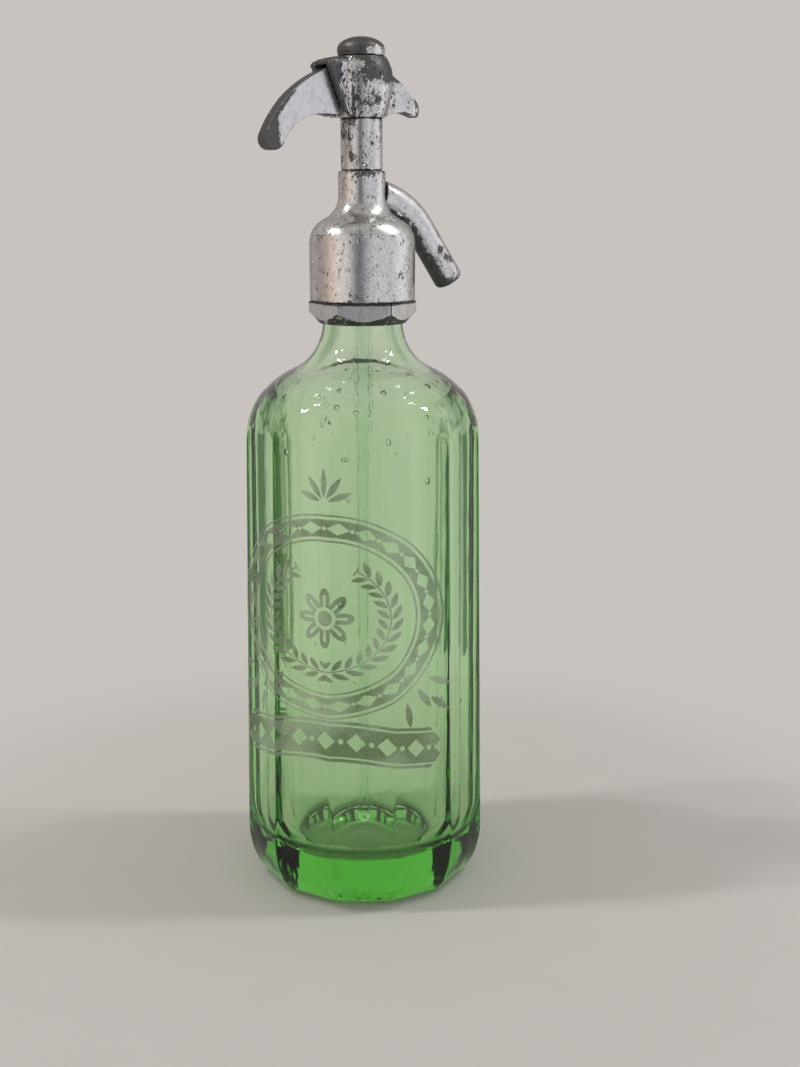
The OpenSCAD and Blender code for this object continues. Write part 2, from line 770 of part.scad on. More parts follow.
// Middle curve of the lever: centre and angle of its root
lever_cx = -11.3;
lever_cz = pivot_z - 27.4;
lever_root_a = 95.5;

// Half height of the lever along its curve, t from 0 at the root to 1 at the tip
function lever_half(t) = lever_tip_h / 2 + (lever_root_h - lever_tip_h) / 2 * pow(1 - t, 2);

// A point beside the middle curve; side is 1 for the back, -1 for the belly
function lever_edge(t, side) =
    let (a = lever_root_a + lever_sweep * t)
    let (r = lever_bend + side * lever_half(t))
    [lever_cx + r * cos(a), lever_cz + r * sin(a)];

module lever_side() {
    steps = 14;
    tip_a = lever_root_a + lever_sweep;
    polygon(concat([for (i = [0:steps]) lever_edge(i / steps, 1)],
                   arc(lever_cx + lever_bend * cos(tip_a), lever_cz + lever_bend * sin(tip_a),
                       lever_tip_h / 2, tip_a + 15, tip_a + 165, 7),
                   [for (i = [steps:-1:0]) lever_edge(i / steps, -1)],
                   [[-pivot_x - 3.6, pivot_z - 7], [-pivot_x - 1.9, pivot_z - 3.4],
                    [-pivot_x, pivot_z - 2.4], [-pivot_x + 3.2, pivot_z - toe_r + 0.3],
                    [0, pivot_z - toe_r + 0.3], [0, pivot_z + toe_r - 0.3],
                    [-pivot_x + 3.4, pivot_z + toe_r - 0.3], [-pivot_x + 2.6, pivot_z + 4.2],
                    [-pivot_x - 1.5, pivot_z + 7.6]]));
}

module lever() {
    fork_gap = rod_d / 2 + 0.4;
    eye_r = 3;
    taper_x = -hood_reach - 1;
    tip_x = lever_cx + lever_bend * cos(lever_root_a + lever_sweep) - lever_tip_h / 2;
    far_x = tip_x - lever_root_h;
    color(worn_metal) difference() {
        intersection() {
            union() {
                extrude_y(lever_t) lever_side();
                translate([0, 0, pivot_z]) rotate([90, 0, 0])
                    cylinder(h = lever_t, r = toe_r, center = true, $fn = small_fn);
                translate([-pivot_x, 0, pivot_z]) rotate([90, 0, 0])
                    cylinder(h = lever_t, r = eye_r, center = true, $fn = small_fn);
            }
            // plan view: full thickness up to the hood, thinner towards the tip
            linear_extrude(height = housing_top_z)
                polygon([[toe_r + through, -lever_t / 2], [toe_r + through, lever_t / 2],
                         [taper_x, lever_t / 2], [tip_x, lever_tip_t / 2], [far_x, lever_tip_t / 2],
                         [far_x, -lever_tip_t / 2], [tip_x, -lever_tip_t / 2],
                         [taper_x, -lever_t / 2]]);
        }
        // fork for the rod
        translate([-fork_gap - 0.8, -fork_gap, pivot_z - 5])
            cube([fork_gap + toe_r + 2, 2 * fork_gap, 10]);
        // bore for the fulcrum pin
        translate([-pivot_x, 0, pivot_z]) rotate([90, 0, 0])
            cylinder(h = lever_t + 2 * through, r = pin_d / 2 + fit_gap, center = true, $fn = small_fn);
    }
}

bottle();
dip_tube();
tube_bush();
mouth_gasket();
bush_gasket();
collar_lever_half();
collar_spout_half();
head_body();
spout();
valve_seat();
valve_washer();
valve_screw();
plunger_rod();
lift_pin();
stem_packing();
packing_gland();
return_spring();
spring_collar();
column();
column_gasket();
lever_housing();
fulcrum_pin();
lever();
top_cap();
cap_gasket();
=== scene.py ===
"""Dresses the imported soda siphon: fluted green glass with a frosted ornament, and a worn plated head.

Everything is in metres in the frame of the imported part: the origin is on the bottle's axis at the
table, +Z is up and +X points towards the spout.
"""

from __future__ import annotations

import logging
import math
from dataclasses import dataclass, field
from enum import Enum
from typing import Callable, Sequence

import bpy
import numpy as np
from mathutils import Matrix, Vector

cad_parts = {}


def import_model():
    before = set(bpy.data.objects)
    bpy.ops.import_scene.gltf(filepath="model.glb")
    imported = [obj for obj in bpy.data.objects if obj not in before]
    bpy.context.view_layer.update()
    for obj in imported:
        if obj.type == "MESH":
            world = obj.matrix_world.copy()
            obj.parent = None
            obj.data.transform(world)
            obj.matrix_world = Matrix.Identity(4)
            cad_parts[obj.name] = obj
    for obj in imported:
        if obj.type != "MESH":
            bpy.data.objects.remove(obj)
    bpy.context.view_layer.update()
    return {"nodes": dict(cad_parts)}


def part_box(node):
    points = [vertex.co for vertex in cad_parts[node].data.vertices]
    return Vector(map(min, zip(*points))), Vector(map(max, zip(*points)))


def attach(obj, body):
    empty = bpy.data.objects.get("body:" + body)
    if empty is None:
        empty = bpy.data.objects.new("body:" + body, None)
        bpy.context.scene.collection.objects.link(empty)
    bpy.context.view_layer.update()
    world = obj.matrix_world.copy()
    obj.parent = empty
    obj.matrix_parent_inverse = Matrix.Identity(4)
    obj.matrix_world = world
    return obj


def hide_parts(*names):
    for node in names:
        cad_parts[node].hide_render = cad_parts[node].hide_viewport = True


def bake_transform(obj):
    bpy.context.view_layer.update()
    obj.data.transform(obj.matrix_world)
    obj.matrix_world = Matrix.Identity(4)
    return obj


LOG = logging.getLogger("siphon")
MM = 0.001
VIEW_AZIMUTH = math.radians(-30)

Array = np.ndarray
Material = bpy.types.Material
Object = bpy.types.Object
Socket = bpy.types.NodeSocket
Colour = tuple[float, float, float]
Point = tuple[float, float]
Sight = tuple[float, Colour]


class Body(Enum):
    """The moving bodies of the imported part."""

    SIPHON = "siphon_body"
    PLUNGER = "plunger"
    LEVER = "lever"


class Slot(Enum):
    """The record's material slots."""

    BOTTLE = "bottle_glass"
    TUBE = "tube_glass"
    WORN = "worn_plate"
    DARK = "dark_plate"
    BUSH = "bush_metal"
    BRASS = "brass"
    STEEL = "steel"
    RUBBER = "rubber"


# ---- node trees --------------------------------------------------------------------------------


class Number:
    """A value in a node tree that takes part in sums, each of which adds a Math node."""

    def __init__(self, graph: Graph, output: Socket) -> None:
        """Wraps an output of the graph."""
        self.graph = graph
        self.output = output

    def __add__(self, other: Term) -> Number:
        """self + other."""
        return self.graph.math("ADD", self, other)

    def __radd__(self, other: Term) -> Number:
        """other + self."""
        return self.graph.math("ADD", other, self)

    def __sub__(self, other: Term) -> Number:
        """self - other."""
        return self.graph.math("SUBTRACT", self, other)

    def __rsub__(self, other: Term) -> Number:
        """other - self."""
        return self.graph.math("SUBTRACT", other, self)

    def __mul__(self, other: Term) -> Number:
        """self * other."""
        return self.graph.math("MULTIPLY", self, other)

    def __rmul__(self, other: Term) -> Number:
        """other * self."""
        return self.graph.math("MULTIPLY", other, self)

    def __truediv__(self, other: Term) -> Number:
        """self / other."""
        return self.graph.math("DIVIDE", self, other)

    def __neg__(self) -> Number:
        """-self."""
        return self.graph.math("MULTIPLY", self, -1.0)

    def __abs__(self) -> Number:
        """abs(self)."""
        return self.graph.math("ABSOLUTE", self)


Term = Number | float | int


class Graph:
    """Builds the node tree of a material or a world."""

    def __init__(self, owner: Material | bpy.types.World) -> None:
        """Starts an empty tree.

        Args:
            owner: The material or world that the tree belongs to.
        """
        owner.use_nodes = True
        self.owner = owner
        self.tree = owner.node_tree
        self.tree.nodes.clear()
        self._point: Socket | None = None

    @classmethod
    def paint(cls, name: str) -> Graph:
        """The tree of a new material."""
        return cls(bpy.data.materials.new(name))

    def node(self, kind: str, **settings: object) -> bpy.types.Node:
        """Adds a node and sets its properties.

        Args:
            kind: The node's type.
            **settings: Properties by name.

        Returns:
            The new node.
        """
        made = self.tree.nodes.new(kind)
        for key, value in settings.items():
            setattr(made, key, value)
        return made

    def feed(self, target: Socket, term: object) -> None:
        """Links or sets an input.

        Args:
            target: The input.
            term: A Number, an output, or a plain value or colour.
        """
        if isinstance(term, Number):
            self.tree.links.new(term.output, target)
        elif isinstance(term, Socket):
            self.tree.links.new(term, target)
        elif isinstance(term, tuple) and len(term) == 3 and target.type == "RGBA":
            target.default_value = (*term, 1.0)
        else:
            target.default_value = term

    def math(self, operation: str, *terms: Term) -> Number:
        """Adds a Math node over one, two or three terms.

        Args:
            operation: The node's operation.
            *terms: Its terms, in order.

        Returns:
            The result.
        """
        node = self.node("ShaderNodeMath", operation=operation)
        for slot, term in zip(node.inputs, terms):
            self.feed(slot, term)
        return Number(self, node.outputs[0])

    def highest(self, first: Number, *others: Number) -> Number:
        """The greatest of several values: the union of shapes.

        Args:
            first: A value.
            *others: The values to compare with it.

        Returns:
            The greatest of them.
        """
        for other in others:
            first = self.math("MAXIMUM", first, other)
        return first

    def lowest(self, first: Number, *others: Number) -> Number:
        """The least of several values: what shapes have in common.

        Args:
            first: A value.
            *others: The values to compare with it.

        Returns:
            The least of them.
        """
        for other in others:
            first = self.math("MINIMUM", first, other)
        return first

    def step(self, value: Term, low: float, high: float) -> Number:
        """A smooth step from 0 at low to 1 at high.

        Args:
            value: The value that is read.
            low: Where the step starts.
            high: Where it is full.

        Returns:
            The step, from 0 to 1.
        """
        node = self.node("ShaderNodeMapRange", interpolation_type="SMOOTHSTEP")
        self.feed(node.inputs["Value"], value)
        node.inputs["From Min"].default_value = low
        node.inputs["From Max"].default_value = high
        return Number(self, node.outputs["Result"])

    def point(self) -> Socket:
        """The place on the object, in metres.

        Returns:
            The vector, from one node that the whole tree shares.
        """
        if self._point is None:
            self._point = self.node("ShaderNodeTexCoord").outputs["Object"]
        return self._point

    def stretched(self, scale: Sequence[float], turn: float = 0.0) -> Socket:
        """The place on the object, scaled along each axis after a turn about +Z.

        Args:
            scale: The scale along each axis.
            turn: The turn about +Z, in radians.

        Returns:
            The vector.
        """
        node = self.node("ShaderNodeMapping", vector_type="POINT")
        self.feed(node.inputs["Vector"], self.point())
        node.inputs["Scale"].default_value = tuple(scale)
        node.inputs["Rotation"].default_value = (0, 0, turn)
        return node.outputs["Vector"]

    def axes(self, vector: Socket) -> tuple[Number, Number, Number]:
        """The three parts of a vector.

        Args:
            vector: The vector.

        Returns:
            Its x, y and z.
        """
        node = self.node("ShaderNodeSeparateXYZ")
        self.feed(node.inputs[0], vector)
        return tuple(Number(self, out) for out in node.outputs)

    def noise(
        self, vector: Socket, scale: float, detail: float = 3, roughness: float = 0.5
    ) -> Number:
        """Noise between 0 and 1.

        Args:
            vector: Where it is read.
            scale: Its spots to the unit.
            detail: Its octaves.
            roughness: The weight of the finer octaves.

        Returns:
            The noise.
        """
        node = self.node("ShaderNodeTexNoise")
        self.feed(node.inputs["Vector"], vector)
        node.inputs["Scale"].default_value = scale
        node.inputs["Detail"].default_value = detail
        node.inputs["Roughness"].default_value = roughness
        return Number(self, node.outputs["Fac"])

    def attribute(self, name: str) -> Number:
        """A value stored in the mesh, which is 0 where the mesh has none."""
        node = self.node("ShaderNodeAttribute", attribute_name=name)
        return Number(self, node.outputs["Fac"])

    def blend(self, share: Term, low: object, high: object) -> Socket:
        """A colour between two colours.

        Args:
            share: How much of the second colour there is, from 0 to 1.
            low: The colour at 0.
            high: The colour at 1.

        Returns:
            The colour.
        """
        node = self.node("ShaderNodeMix", data_type="RGBA")
        self.feed(node.inputs[0], share)
        self.feed(node.inputs[6], low)
        self.feed(node.inputs[7], high)
        return node.outputs[2]

    def ring(self, turn: Number, sights: Sequence[Sight]) -> Socket:
        """A colour by direction.

        Args:
            turn: The direction, from -180 to 180 degrees.
            sights: Directions with their colours, from the first to the last.

        Returns:
            The colour, which passes from each sight to the next.
        """
        node = self.node("ShaderNodeValToRGB")
        self.feed(node.inputs[0], turn / 360 + 0.5)
        stops = node.color_ramp.elements
        while len(stops) < len(sights):
            stops.new(1.0)
        for stop, (angle, colour) in zip(stops, sights):
            stop.position = angle / 360 + 0.5
            stop.color = (*colour, 1.0)
        return node.outputs["Color"]

    def bump(self, height: Number, depth: float, strength: float = 1.0) -> Socket:
        """A normal from a height, of which 1 stands for depth metres.

        Args:
            height: The height.
            depth: The metres that a height of 1 stands for.
            strength: How much of it is used.

        Returns:
            The normal.
        """
        node = self.node("ShaderNodeBump")
        node.inputs["Strength"].default_value = strength
        node.inputs["Distance"].default_value = depth
        self.feed(node.inputs["Height"], height)
        return node.outputs["Normal"]

    def surface(self, **sockets: object) -> bpy.types.Node:
        """Adds the surface shader and the output.

        Args:
            **sockets: Inputs of the Principled shader, with _ for a space.

        Returns:
            The output node.
        """
        shader = self.node("ShaderNodeBsdfPrincipled")
        for key, value in sockets.items():
            self.feed(shader.inputs[key.replace("_", " ")], value)
        output = self.node("ShaderNodeOutputMaterial")
        self.tree.links.new(shader.outputs[0], output.inputs["Surface"])
        return output


# ---- finishes ----------------------------------------------------------------------------------


@dataclass(frozen=True)
class Ornament:
    """A frosted ornament: an oval frame of lozenges, sprigs, a rosette and a ribbon below.

    Its lengths are in millimetres on the bottle's unrolled surface, and its angles in radians, but
    for the crest's and the corners' turns, which are in degrees. The value whole is a whole number
    that is added where a fraction is taken, so that what it is taken of stays above 0.
    """

    facing: float = math.radians(-137)
    unroll_radius: float = 48.0
    outside: Point = (42.5, 43.0)
    middle_z: float = 119.0
    edge: float = 0.22
    whole: float = 20.0

    oval_half_width: float = 47.0
    oval_half_height: float = 38.0
    oval_mean: float = 42.0
    band: float = 38.0
    band_half: float = 3.7
    lozenges: int = 24
    lozenge_half: float = 2.5
    lozenge_slope: float = 0.62
    dot: float = 0.75
    line_half: float = 0.42
    line_gap: float = 1.6

    sprig: float = 23.0
    sprig_leaves: int = 15
    sprig_reach: float = math.radians(62)
    sprig_tilt: float = math.radians(38)
    sprig_leaf: Point = (3.3, 1.15)
    sprig_leaf_out: float = 2.5
    sprig_stem_half: float = 0.3

    petals: int = 8
    petal_valley: float = 5.2
    petal_rise: float = 6.5
    petal_foot: float = 4.4
    vein_edge: float = 0.965
    vein_depth: float = 8.0
    vein_reach: float = 9.0
    heart: float = 3.0

    ribbon_drop: float = 51.0
    ribbon_half: float = 8.2
    ribbon_half_length: float = 50.0
    ribbon_notch: float = 0.9
    ribbon_wave: float = 3.0
    ribbon_wave_length: float = 17.0
    ribbon_pitch: float = 12.0
    ribbon_lozenge_half: float = 3.6
    ribbon_lozenge_slope: float = 0.95
    ribbon_dot: float = 1.0
    ribbon_line_half: float = 0.35
    ribbon_line_in: float = 1.7

    crest_z: float = 44.0
    crest_turns: tuple[int, ...] = (18, 54, 90, 126, 162)
    crest_leaf: Point = (5.0, 1.25)
    crest_middle_length: float = 5.6
    crest_gap: float = 1.6
    corner_leaf: Point = (5.2, 1.5)
    corner_leaves: tuple[tuple[int, int, int], ...] = (
        (40, -33, -52), (47, -27, -20), (33, -39, -80), (47, -36, -38),
    )

    def mask(self, graph: Graph) -> Number:
        """The ornament's coverage, 1 where the glass is frosted.

        Args:
            graph: The tree to add to.

        Returns:
            The coverage, from 0 to 1.
        """
        x, y, z = graph.axes(graph.stretched((1, 1, 1), -self.facing))
        u = graph.math("ARCTAN2", y, x) * self.unroll_radius
        v = z / MM - self.middle_z
        shapes = graph.highest(
            self._frame(graph, u, v),
            self._sprigs(graph, u, v),
            self._rosette(graph, u, v),
            self._ribbon(graph, u, v),
            self._crest(graph, u, v),
            self._corners(graph, u, v),
        )
        radius = graph.math("SQRT", x * x + y * y)
        start, full = self.outside
        outside = graph.step(radius, start * MM, full * MM)
        return graph.step(shapes, -self.edge, self.edge) * outside

    def _oval(self, graph: Graph, u: Number, v: Number) -> tuple[Number, Number]:
        """Distance from the middle in oval measure, and the turn about it.

        Args:
            graph: The tree to add to.
            u: Place round the bottle, in millimetres.
            v: Place above the ornament's middle, in millimetres.

        Returns:
            The distance, in millimetres, and the turn, in radians.
        """
        across = u / self.oval_half_width
        up = v / self.oval_half_height
        distance = graph.math("SQRT", across * across + up * up) * self.oval_mean
        return distance, graph.math("ARCTAN2", up, across)

    def _leaf(self, x: Number, y: Number, tilt: float, size: Point) -> Number:
        """A pointed leaf about the origin of x and y.

        Args:
            x: Place across.
            y: Place up.
            tilt: The leaf's turn from x, in radians.
            size: Half its length and half its width.

        Returns:
            The depth inside the leaf, below 0 outside it.
        """
        half_length, half_width = size
        cos, sin = math.cos(tilt), math.sin(tilt)
        along = (x * cos + y * sin) / half_length
        across = abs(y * cos - x * sin)
        return (1 - along * along) * half_width - across

    def _frame(self, graph: Graph, u: Number, v: Number) -> Number:
        """The oval band with clear lozenges and dots, between two lines.

        Args:
            graph: The tree to add to.
            u: Place round the bottle, in millimetres.
            v: Place above the ornament's middle, in millimetres.

        Returns:
            Above 0 inside the frame.
        """
        distance, turn = self._oval(graph, u, v)
        pitch = 2 * math.pi * self.band / self.lozenges
        part = graph.math("FRACT", turn * (self.lozenges / (2 * math.pi)) + 0.5 * self.lozenges)
        off = distance - self.band
        along = abs(part - 0.5) * pitch
        lozenge = self.lozenge_half - along * self.lozenge_slope - abs(off)
        beside = pitch / 2 - along
        dot = self.dot - graph.math("SQRT", beside * beside + off * off)
        band = self.band_half - abs(off)
        lines = self.line_half - abs(abs(off) - self.band_half - self.line_gap)
        return graph.highest(graph.lowest(band, -lozenge, -dot), lines)

    def _sprigs(self, graph: Graph, u: Number, v: Number) -> Number:
        """Two leafy sprigs that rise inside the oval.

        Args:
            graph: The tree to add to.
            u: Place round the bottle, in millimetres.
            v: Place above the ornament's middle, in millimetres.

        Returns:
            Above 0 inside the sprigs.
        """
        distance, turn = self._oval(graph, abs(u), v)
        pitch = math.pi * self.sprig / self.sprig_leaves
        part = graph.math("FRACT", turn * (self.sprig_leaves / math.pi) + self.whole) - 0.5
        along = part * pitch
        off = distance - self.sprig
        outer = self._leaf(along, off - self.sprig_leaf_out, self.sprig_tilt, self.sprig_leaf)
        inner = self._leaf(along, off + self.sprig_leaf_out, -self.sprig_tilt, self.sprig_leaf)
        stem = self.sprig_stem_half - abs(off)
        return graph.lowest(graph.highest(outer, inner, stem), (self.sprig_reach - turn) * self.sprig)

    def _rosette(self, graph: Graph, u: Number, v: Number) -> Number:
        """A rosette of veined petals in the middle.

        Args:
            graph: The tree to add to.
            u: Place round the bottle, in millimetres.
            v: Place above the ornament's middle, in millimetres.

        Returns:
            Above 0 inside the rosette.
        """
        distance = graph.math("SQRT", u * u + v * v)
        turn = graph.math("ARCTAN2", v, u)
        wave = abs(graph.math("COSINE", turn * (self.petals / 2)))
        rim = wave * self.petal_rise + self.petal_valley
        petals = graph.lowest(rim - distance, distance - self.petal_foot)
        vein = graph.lowest(wave - self.vein_edge, self.vein_reach - distance)
        return graph.highest(graph.lowest(petals, -vein * self.vein_depth), self.heart - distance)

    def _ribbon(self, graph: Graph, u: Number, v: Number) -> Number:
        """A waved ribbon with a row of clear lozenges and dots.

        Args:
            graph: The tree to add to.
            u: Place round the bottle, in millimetres.
            v: Place above the ornament's middle, in millimetres.

        Returns:
            Above 0 inside the ribbon.
        """
        wave = graph.math("COSINE", u / self.ribbon_wave_length) * self.ribbon_wave
        rise = v + self.ribbon_drop - wave
        pitch = self.ribbon_pitch
        part = abs(graph.math("FRACT", u / pitch + (self.whole + 0.5)) - 0.5) * pitch
        lozenge = self.ribbon_lozenge_half - part * self.ribbon_lozenge_slope - abs(rise)
        beside = pitch / 2 - part
        dot = self.ribbon_dot - graph.math("SQRT", beside * beside + rise * rise)
        line = self.ribbon_line_half - abs(abs(rise) - self.ribbon_half + self.ribbon_line_in)
        ends = self.ribbon_half_length - abs(u) + abs(rise) * -self.ribbon_notch
        band = graph.lowest(self.ribbon_half - abs(rise), ends)
        return graph.lowest(band, -lozenge, -dot, -line)

    def _crest(self, graph: Graph, u: Number, v: Number) -> Number:
        """Leaves that fan out above the oval, the middle one the longest.

        Args:
            graph: The tree to add to.
            u: Place round the bottle, in millimetres.
            v: Place above the ornament's middle, in millimetres.

        Returns:
            Above 0 inside the leaves.
        """
        side_length, half_width = self.crest_leaf
        fans = []
        for turn in self.crest_turns:
            angle = math.radians(turn)
            length = self.crest_middle_length if turn == 90 else side_length
            x = u - (length + self.crest_gap) * math.cos(angle)
            y = v - self.crest_z - (length + self.crest_gap) * math.sin(angle)
            fans.append(self._leaf(x, y, angle, (length, half_width)))
        return graph.highest(*fans)

    def _corners(self, graph: Graph, u: Number, v: Number) -> Number:
        """Leaves in the corners between oval and ribbon.

        Args:
            graph: The tree to add to.
            u: Place round the bottle, in millimetres.
            v: Place above the ornament's middle, in millimetres.

        Returns:
            Above 0 inside the leaves.
        """
        side = abs(u)
        found = []
        for across, up, tilt in self.corner_leaves:
            found.append(self._leaf(side - across, v - up, math.radians(tilt), self.corner_leaf))
        return graph.highest(*found)


@dataclass(frozen=True)
class BottleGlass:
    """Thick pale green glass, frosted where the ornament is.

    Its heights and radii are in millimetres, and its scales are spots to the metre.
    """

    name: str = "green_glass"
    tint: Colour = (0.28, 0.86, 0.06)
    density: float = 32.5
    clear: Colour = (1.0, 1.0, 1.0)
    frosted: Colour = (0.16, 0.22, 0.11)
    polish: float = 0.015
    frost_roughness: float = 0.42
    frost_cover: float = 0.5
    ornament: Ornament = field(default_factory=Ornament)
    grain_scale: float = 900
    rubbed_scale: float = 55
    wave_scale: float = 95
    ripple_scale: float = 420
    streak_scale: float = 190
    ripples: float = 0.12
    shoulder_ripples: float = 0.35
    heel_streaks: float = 4.0
    relief: float = 0.35
    relief_strength: float = 0.4
    heel_z: Point = (12, 24)
    heel_radius: Point = (36, 40)
    shoulder_z: Point = (172, 184)
    shoulder_radius: Point = (16, 20)

    def _past(self, graph: Graph, value: Number, bounds: Point) -> Number:
        """A smooth step between two bounds in millimetres."""
        start, full = bounds
        return graph.step(value, start * MM, full * MM)

    def _relief(self, graph: Graph) -> Number:
        """Waves all over, finer ripples on the shoulder and drawn streaks at the heel.

        Args:
            graph: The tree to add to.

        Returns:
            The height of the surface.
        """
        waves = graph.noise(graph.stretched((1, 1, 0.35)), self.wave_scale, 2)
        ripples = graph.noise(graph.stretched((1, 1, 0.25)), self.ripple_scale, 2)
        streaks = graph.noise(graph.stretched((1, 1, 0.12)), self.streak_scale, 2)
        x, y, height = graph.axes(graph.point())
        radius = graph.math("SQRT", x * x + y * y)
        heel = 1.0 - self._past(graph, height, self.heel_z)
        heel = heel * self._past(graph, radius, self.heel_radius)
        shoulder = self._past(graph, height, self.shoulder_z)
        shoulder = shoulder * self._past(graph, radius, self.shoulder_radius)
        fine = ripples * (shoulder * self.shoulder_ripples + self.ripples)
        return waves + fine + streaks * heel * self.heel_streaks

    def build(self) -> Material:
        """Builds the material.

        Returns:
            The material.
        """
        graph = Graph.paint(self.name)
        frost = self.ornament.mask(graph)
        grain = graph.noise(graph.point(), self.grain_scale, 2)
        rubbed = graph.noise(graph.point(), self.rubbed_scale, 3)
        frost = frost * (0.42 + grain * 0.35 + graph.step(rubbed, 0.3, 0.7) * 0.42)
        output = graph.surface(
            Base_Color=graph.blend(frost, self.clear, self.frosted),
            Roughness=graph.step(frost, 0.0, 1.0) * self.frost_roughness + self.polish,
            IOR=1.5,
            Transmission_Weight=1.0 - frost * self.frost_cover,
            Normal=graph.bump(self._relief(graph), self.relief * MM, self.relief_strength),
        )
        depth = graph.node("ShaderNodeVolumeAbsorption")
        depth.inputs["Color"].default_value = (*self.tint, 1.0)
        depth.inputs["Density"].default_value = self.density
        graph.tree.links.new(depth.outputs[0], output.inputs["Volume"])
        return graph.owner


@dataclass(frozen=True)
class TubeGlass:
    """The clear glass of the dip tube, with a low refraction that keeps it faint in the bottle."""

    name: str = "tube_glass"
    tint: Colour = (0.93, 0.98, 0.94)
    refraction: float = 1.12
    haze_scale: float = 500
    haze: float = 0.12
    polish: float = 0.02

    def build(self) -> Material:
        """Builds the material.

        Returns:
            The material.
        """
        graph = Graph.paint(self.name)
        haze = graph.noise(graph.stretched((1, 1, 0.1)), self.haze_scale, 2)
        graph.surface(
            Base_Color=self.tint,
            Roughness=graph.step(haze, 0.45, 0.8) * self.haze + self.polish,
            IOR=self.refraction,
            Transmission_Weight=1.0,
        )
        return graph.owner


@dataclass(frozen=True)
class WornPlate:
    """Bright plating on a dark casting, worn off in patches and pitted all over.

    Its scales are spots to the metre. Where the plating is lost depends on two attributes of the
    mesh: the worn places, which lay patches bare and on some pieces also carry painted shade and
    painted highlights, and pitting, which adds pits.
    """

    name: str
    bright: Colour = (0.76, 0.75, 0.74)
    cloudy: Colour = (0.47, 0.465, 0.46)
    bare: Colour = (0.085, 0.085, 0.085)
    bare_light: Colour = (0.16, 0.158, 0.155)
    stain: Colour = (0.34, 0.27, 0.20)
    pit: Colour = (0.035, 0.033, 0.03)
    edge_tint: Colour = (0.55, 0.55, 0.55)
    loss: float = 0.30
    sheen: float = 0.17
    cloudiness: float = 0.62
    staining: float = 0.35
    relief: float = 0.12
    relief_strength: float = 0.8
    blotch_scale: float = 250
    ragged_scale: float = 1500
    speck_scale: float = 1150
    region_scale: float = 150
    fine_scale: float = 2600
    tarnish_scale: float = 480
    grain_scale: float = 1300
    pit_edge: Point = (0.812, 0.832)
    fine_edge: Point = (0.76, 0.83)

    def build(self) -> Material:
        """Builds the material.

        Returns:
            The material.
        """
        graph = Graph.paint(self.name)
        # The worn places read here also carry painted shade and painted highlights on some pieces.
        wear_and_painted_light = graph.attribute("wear_and_painted_light")
        pitting = graph.attribute("pitting")
        blotch = graph.noise(graph.stretched((1, 1, 0.75)), self.blotch_scale, 6, 0.68)
        ragged = graph.noise(graph.point(), self.ragged_scale, 3, 0.6)
        edge = 0.905 - self.loss
        bare = graph.step(blotch * 0.72 + ragged * 0.28 + wear_and_painted_light * 0.42, edge, edge + 0.016)
        speck = graph.noise(graph.stretched((1, 1, 0.5)), self.speck_scale, 4, 0.62)
        region = graph.noise(graph.point(), self.region_scale, 2)
        pits = graph.step(speck + region * 0.24 + pitting * 0.12, *self.pit_edge)
        dust = graph.noise(graph.point(), self.fine_scale, 2, 0.6)
        fine = graph.step(dust + region * 0.2 + pitting * 0.1, *self.fine_edge)
        dark = graph.highest(bare, pits, fine * 0.6)
        tarnish = graph.noise(graph.stretched((1, 1, 0.6)), self.tarnish_scale, 5, 0.62)
        grain = graph.noise(graph.stretched((1, 1, 0.7)), self.grain_scale, 4, 0.7)
        clouds = graph.step(tarnish * 0.5 + grain * 0.5 + wear_and_painted_light * 0.25, 0.40, 0.66)
        stained = graph.step(blotch + ragged * 0.35, 0.68, 0.88) * self.staining
        plating = graph.blend(stained, self.bright, self.stain)
        mottled = graph.blend(clouds * self.cloudiness, plating, self.cloudy)
        bared = graph.blend(graph.step(ragged, 0.3, 0.8), self.bare, self.bare_light)
        bared = graph.blend(pits, bared, self.pit)
        relief = 1.0 - graph.highest(bare * 0.7, pits) + tarnish * 0.35 + grain * 0.2
        graph.surface(
            Base_Color=graph.blend(dark, mottled, bared),
            Metallic=1.0 - dark * 0.25,
            Roughness=grain * 0.20 + self.sheen + dark * 0.14,
            Specular_Tint=self.edge_tint,
            Normal=graph.bump(relief, self.relief * MM, self.relief_strength),
        )
        return graph.owner


@dataclass(frozen=True)
class PlainMetal:
    """A plain metal with fine turning marks."""

    name: str
    colour: Colour
    dull: Colour
    roughness: float = 0.32
    marks_scale: float = 900
    patina_scale: float = 260
    relief: float = 0.03

    def build(self) -> Material:
        """Builds the material.

        Returns:
            The material.
        """
        graph = Graph.paint(self.name)
        marks = graph.noise(graph.stretched((0.2, 0.2, 3.0)), self.marks_scale, 2)
        patina = graph.noise(graph.point(), self.patina_scale, 4, 0.6)
        graph.surface(
            Base_Color=graph.blend(graph.step(patina, 0.35, 0.75), self.colour, self.dull),
            Metallic=1.0,
            Roughness=patina * 0.2 + self.roughness,
            Normal=graph.bump(marks, self.relief * MM, 0.5),
        )
        return graph.owner


@dataclass(frozen=True)
class Rubber:
    """Old dark rubber with a dusty bloom."""

    name: str = "old_rubber"
    colour: Colour = (0.035, 0.032, 0.030)
    bloom: Colour = (0.10, 0.095, 0.085)
    dust_scale: float = 700
    relief: float = 0.06
    roughness: float = 0.6

    def build(self) -> Material:
        """Builds the material.

        Returns:
            The material.
        """
        graph = Graph.paint(self.name)
        dust = graph.noise(graph.point(), self.dust_scale, 5, 0.65)
        graph.surface(
            Base_Color=graph.blend(graph.step(dust, 0.4, 0.8), self.colour, self.bloom),
            Roughness=dust * 0.25 + self.roughness,
            Normal=graph.bump(dust, self.relief * MM, 0.5),
        )
        return graph.owner


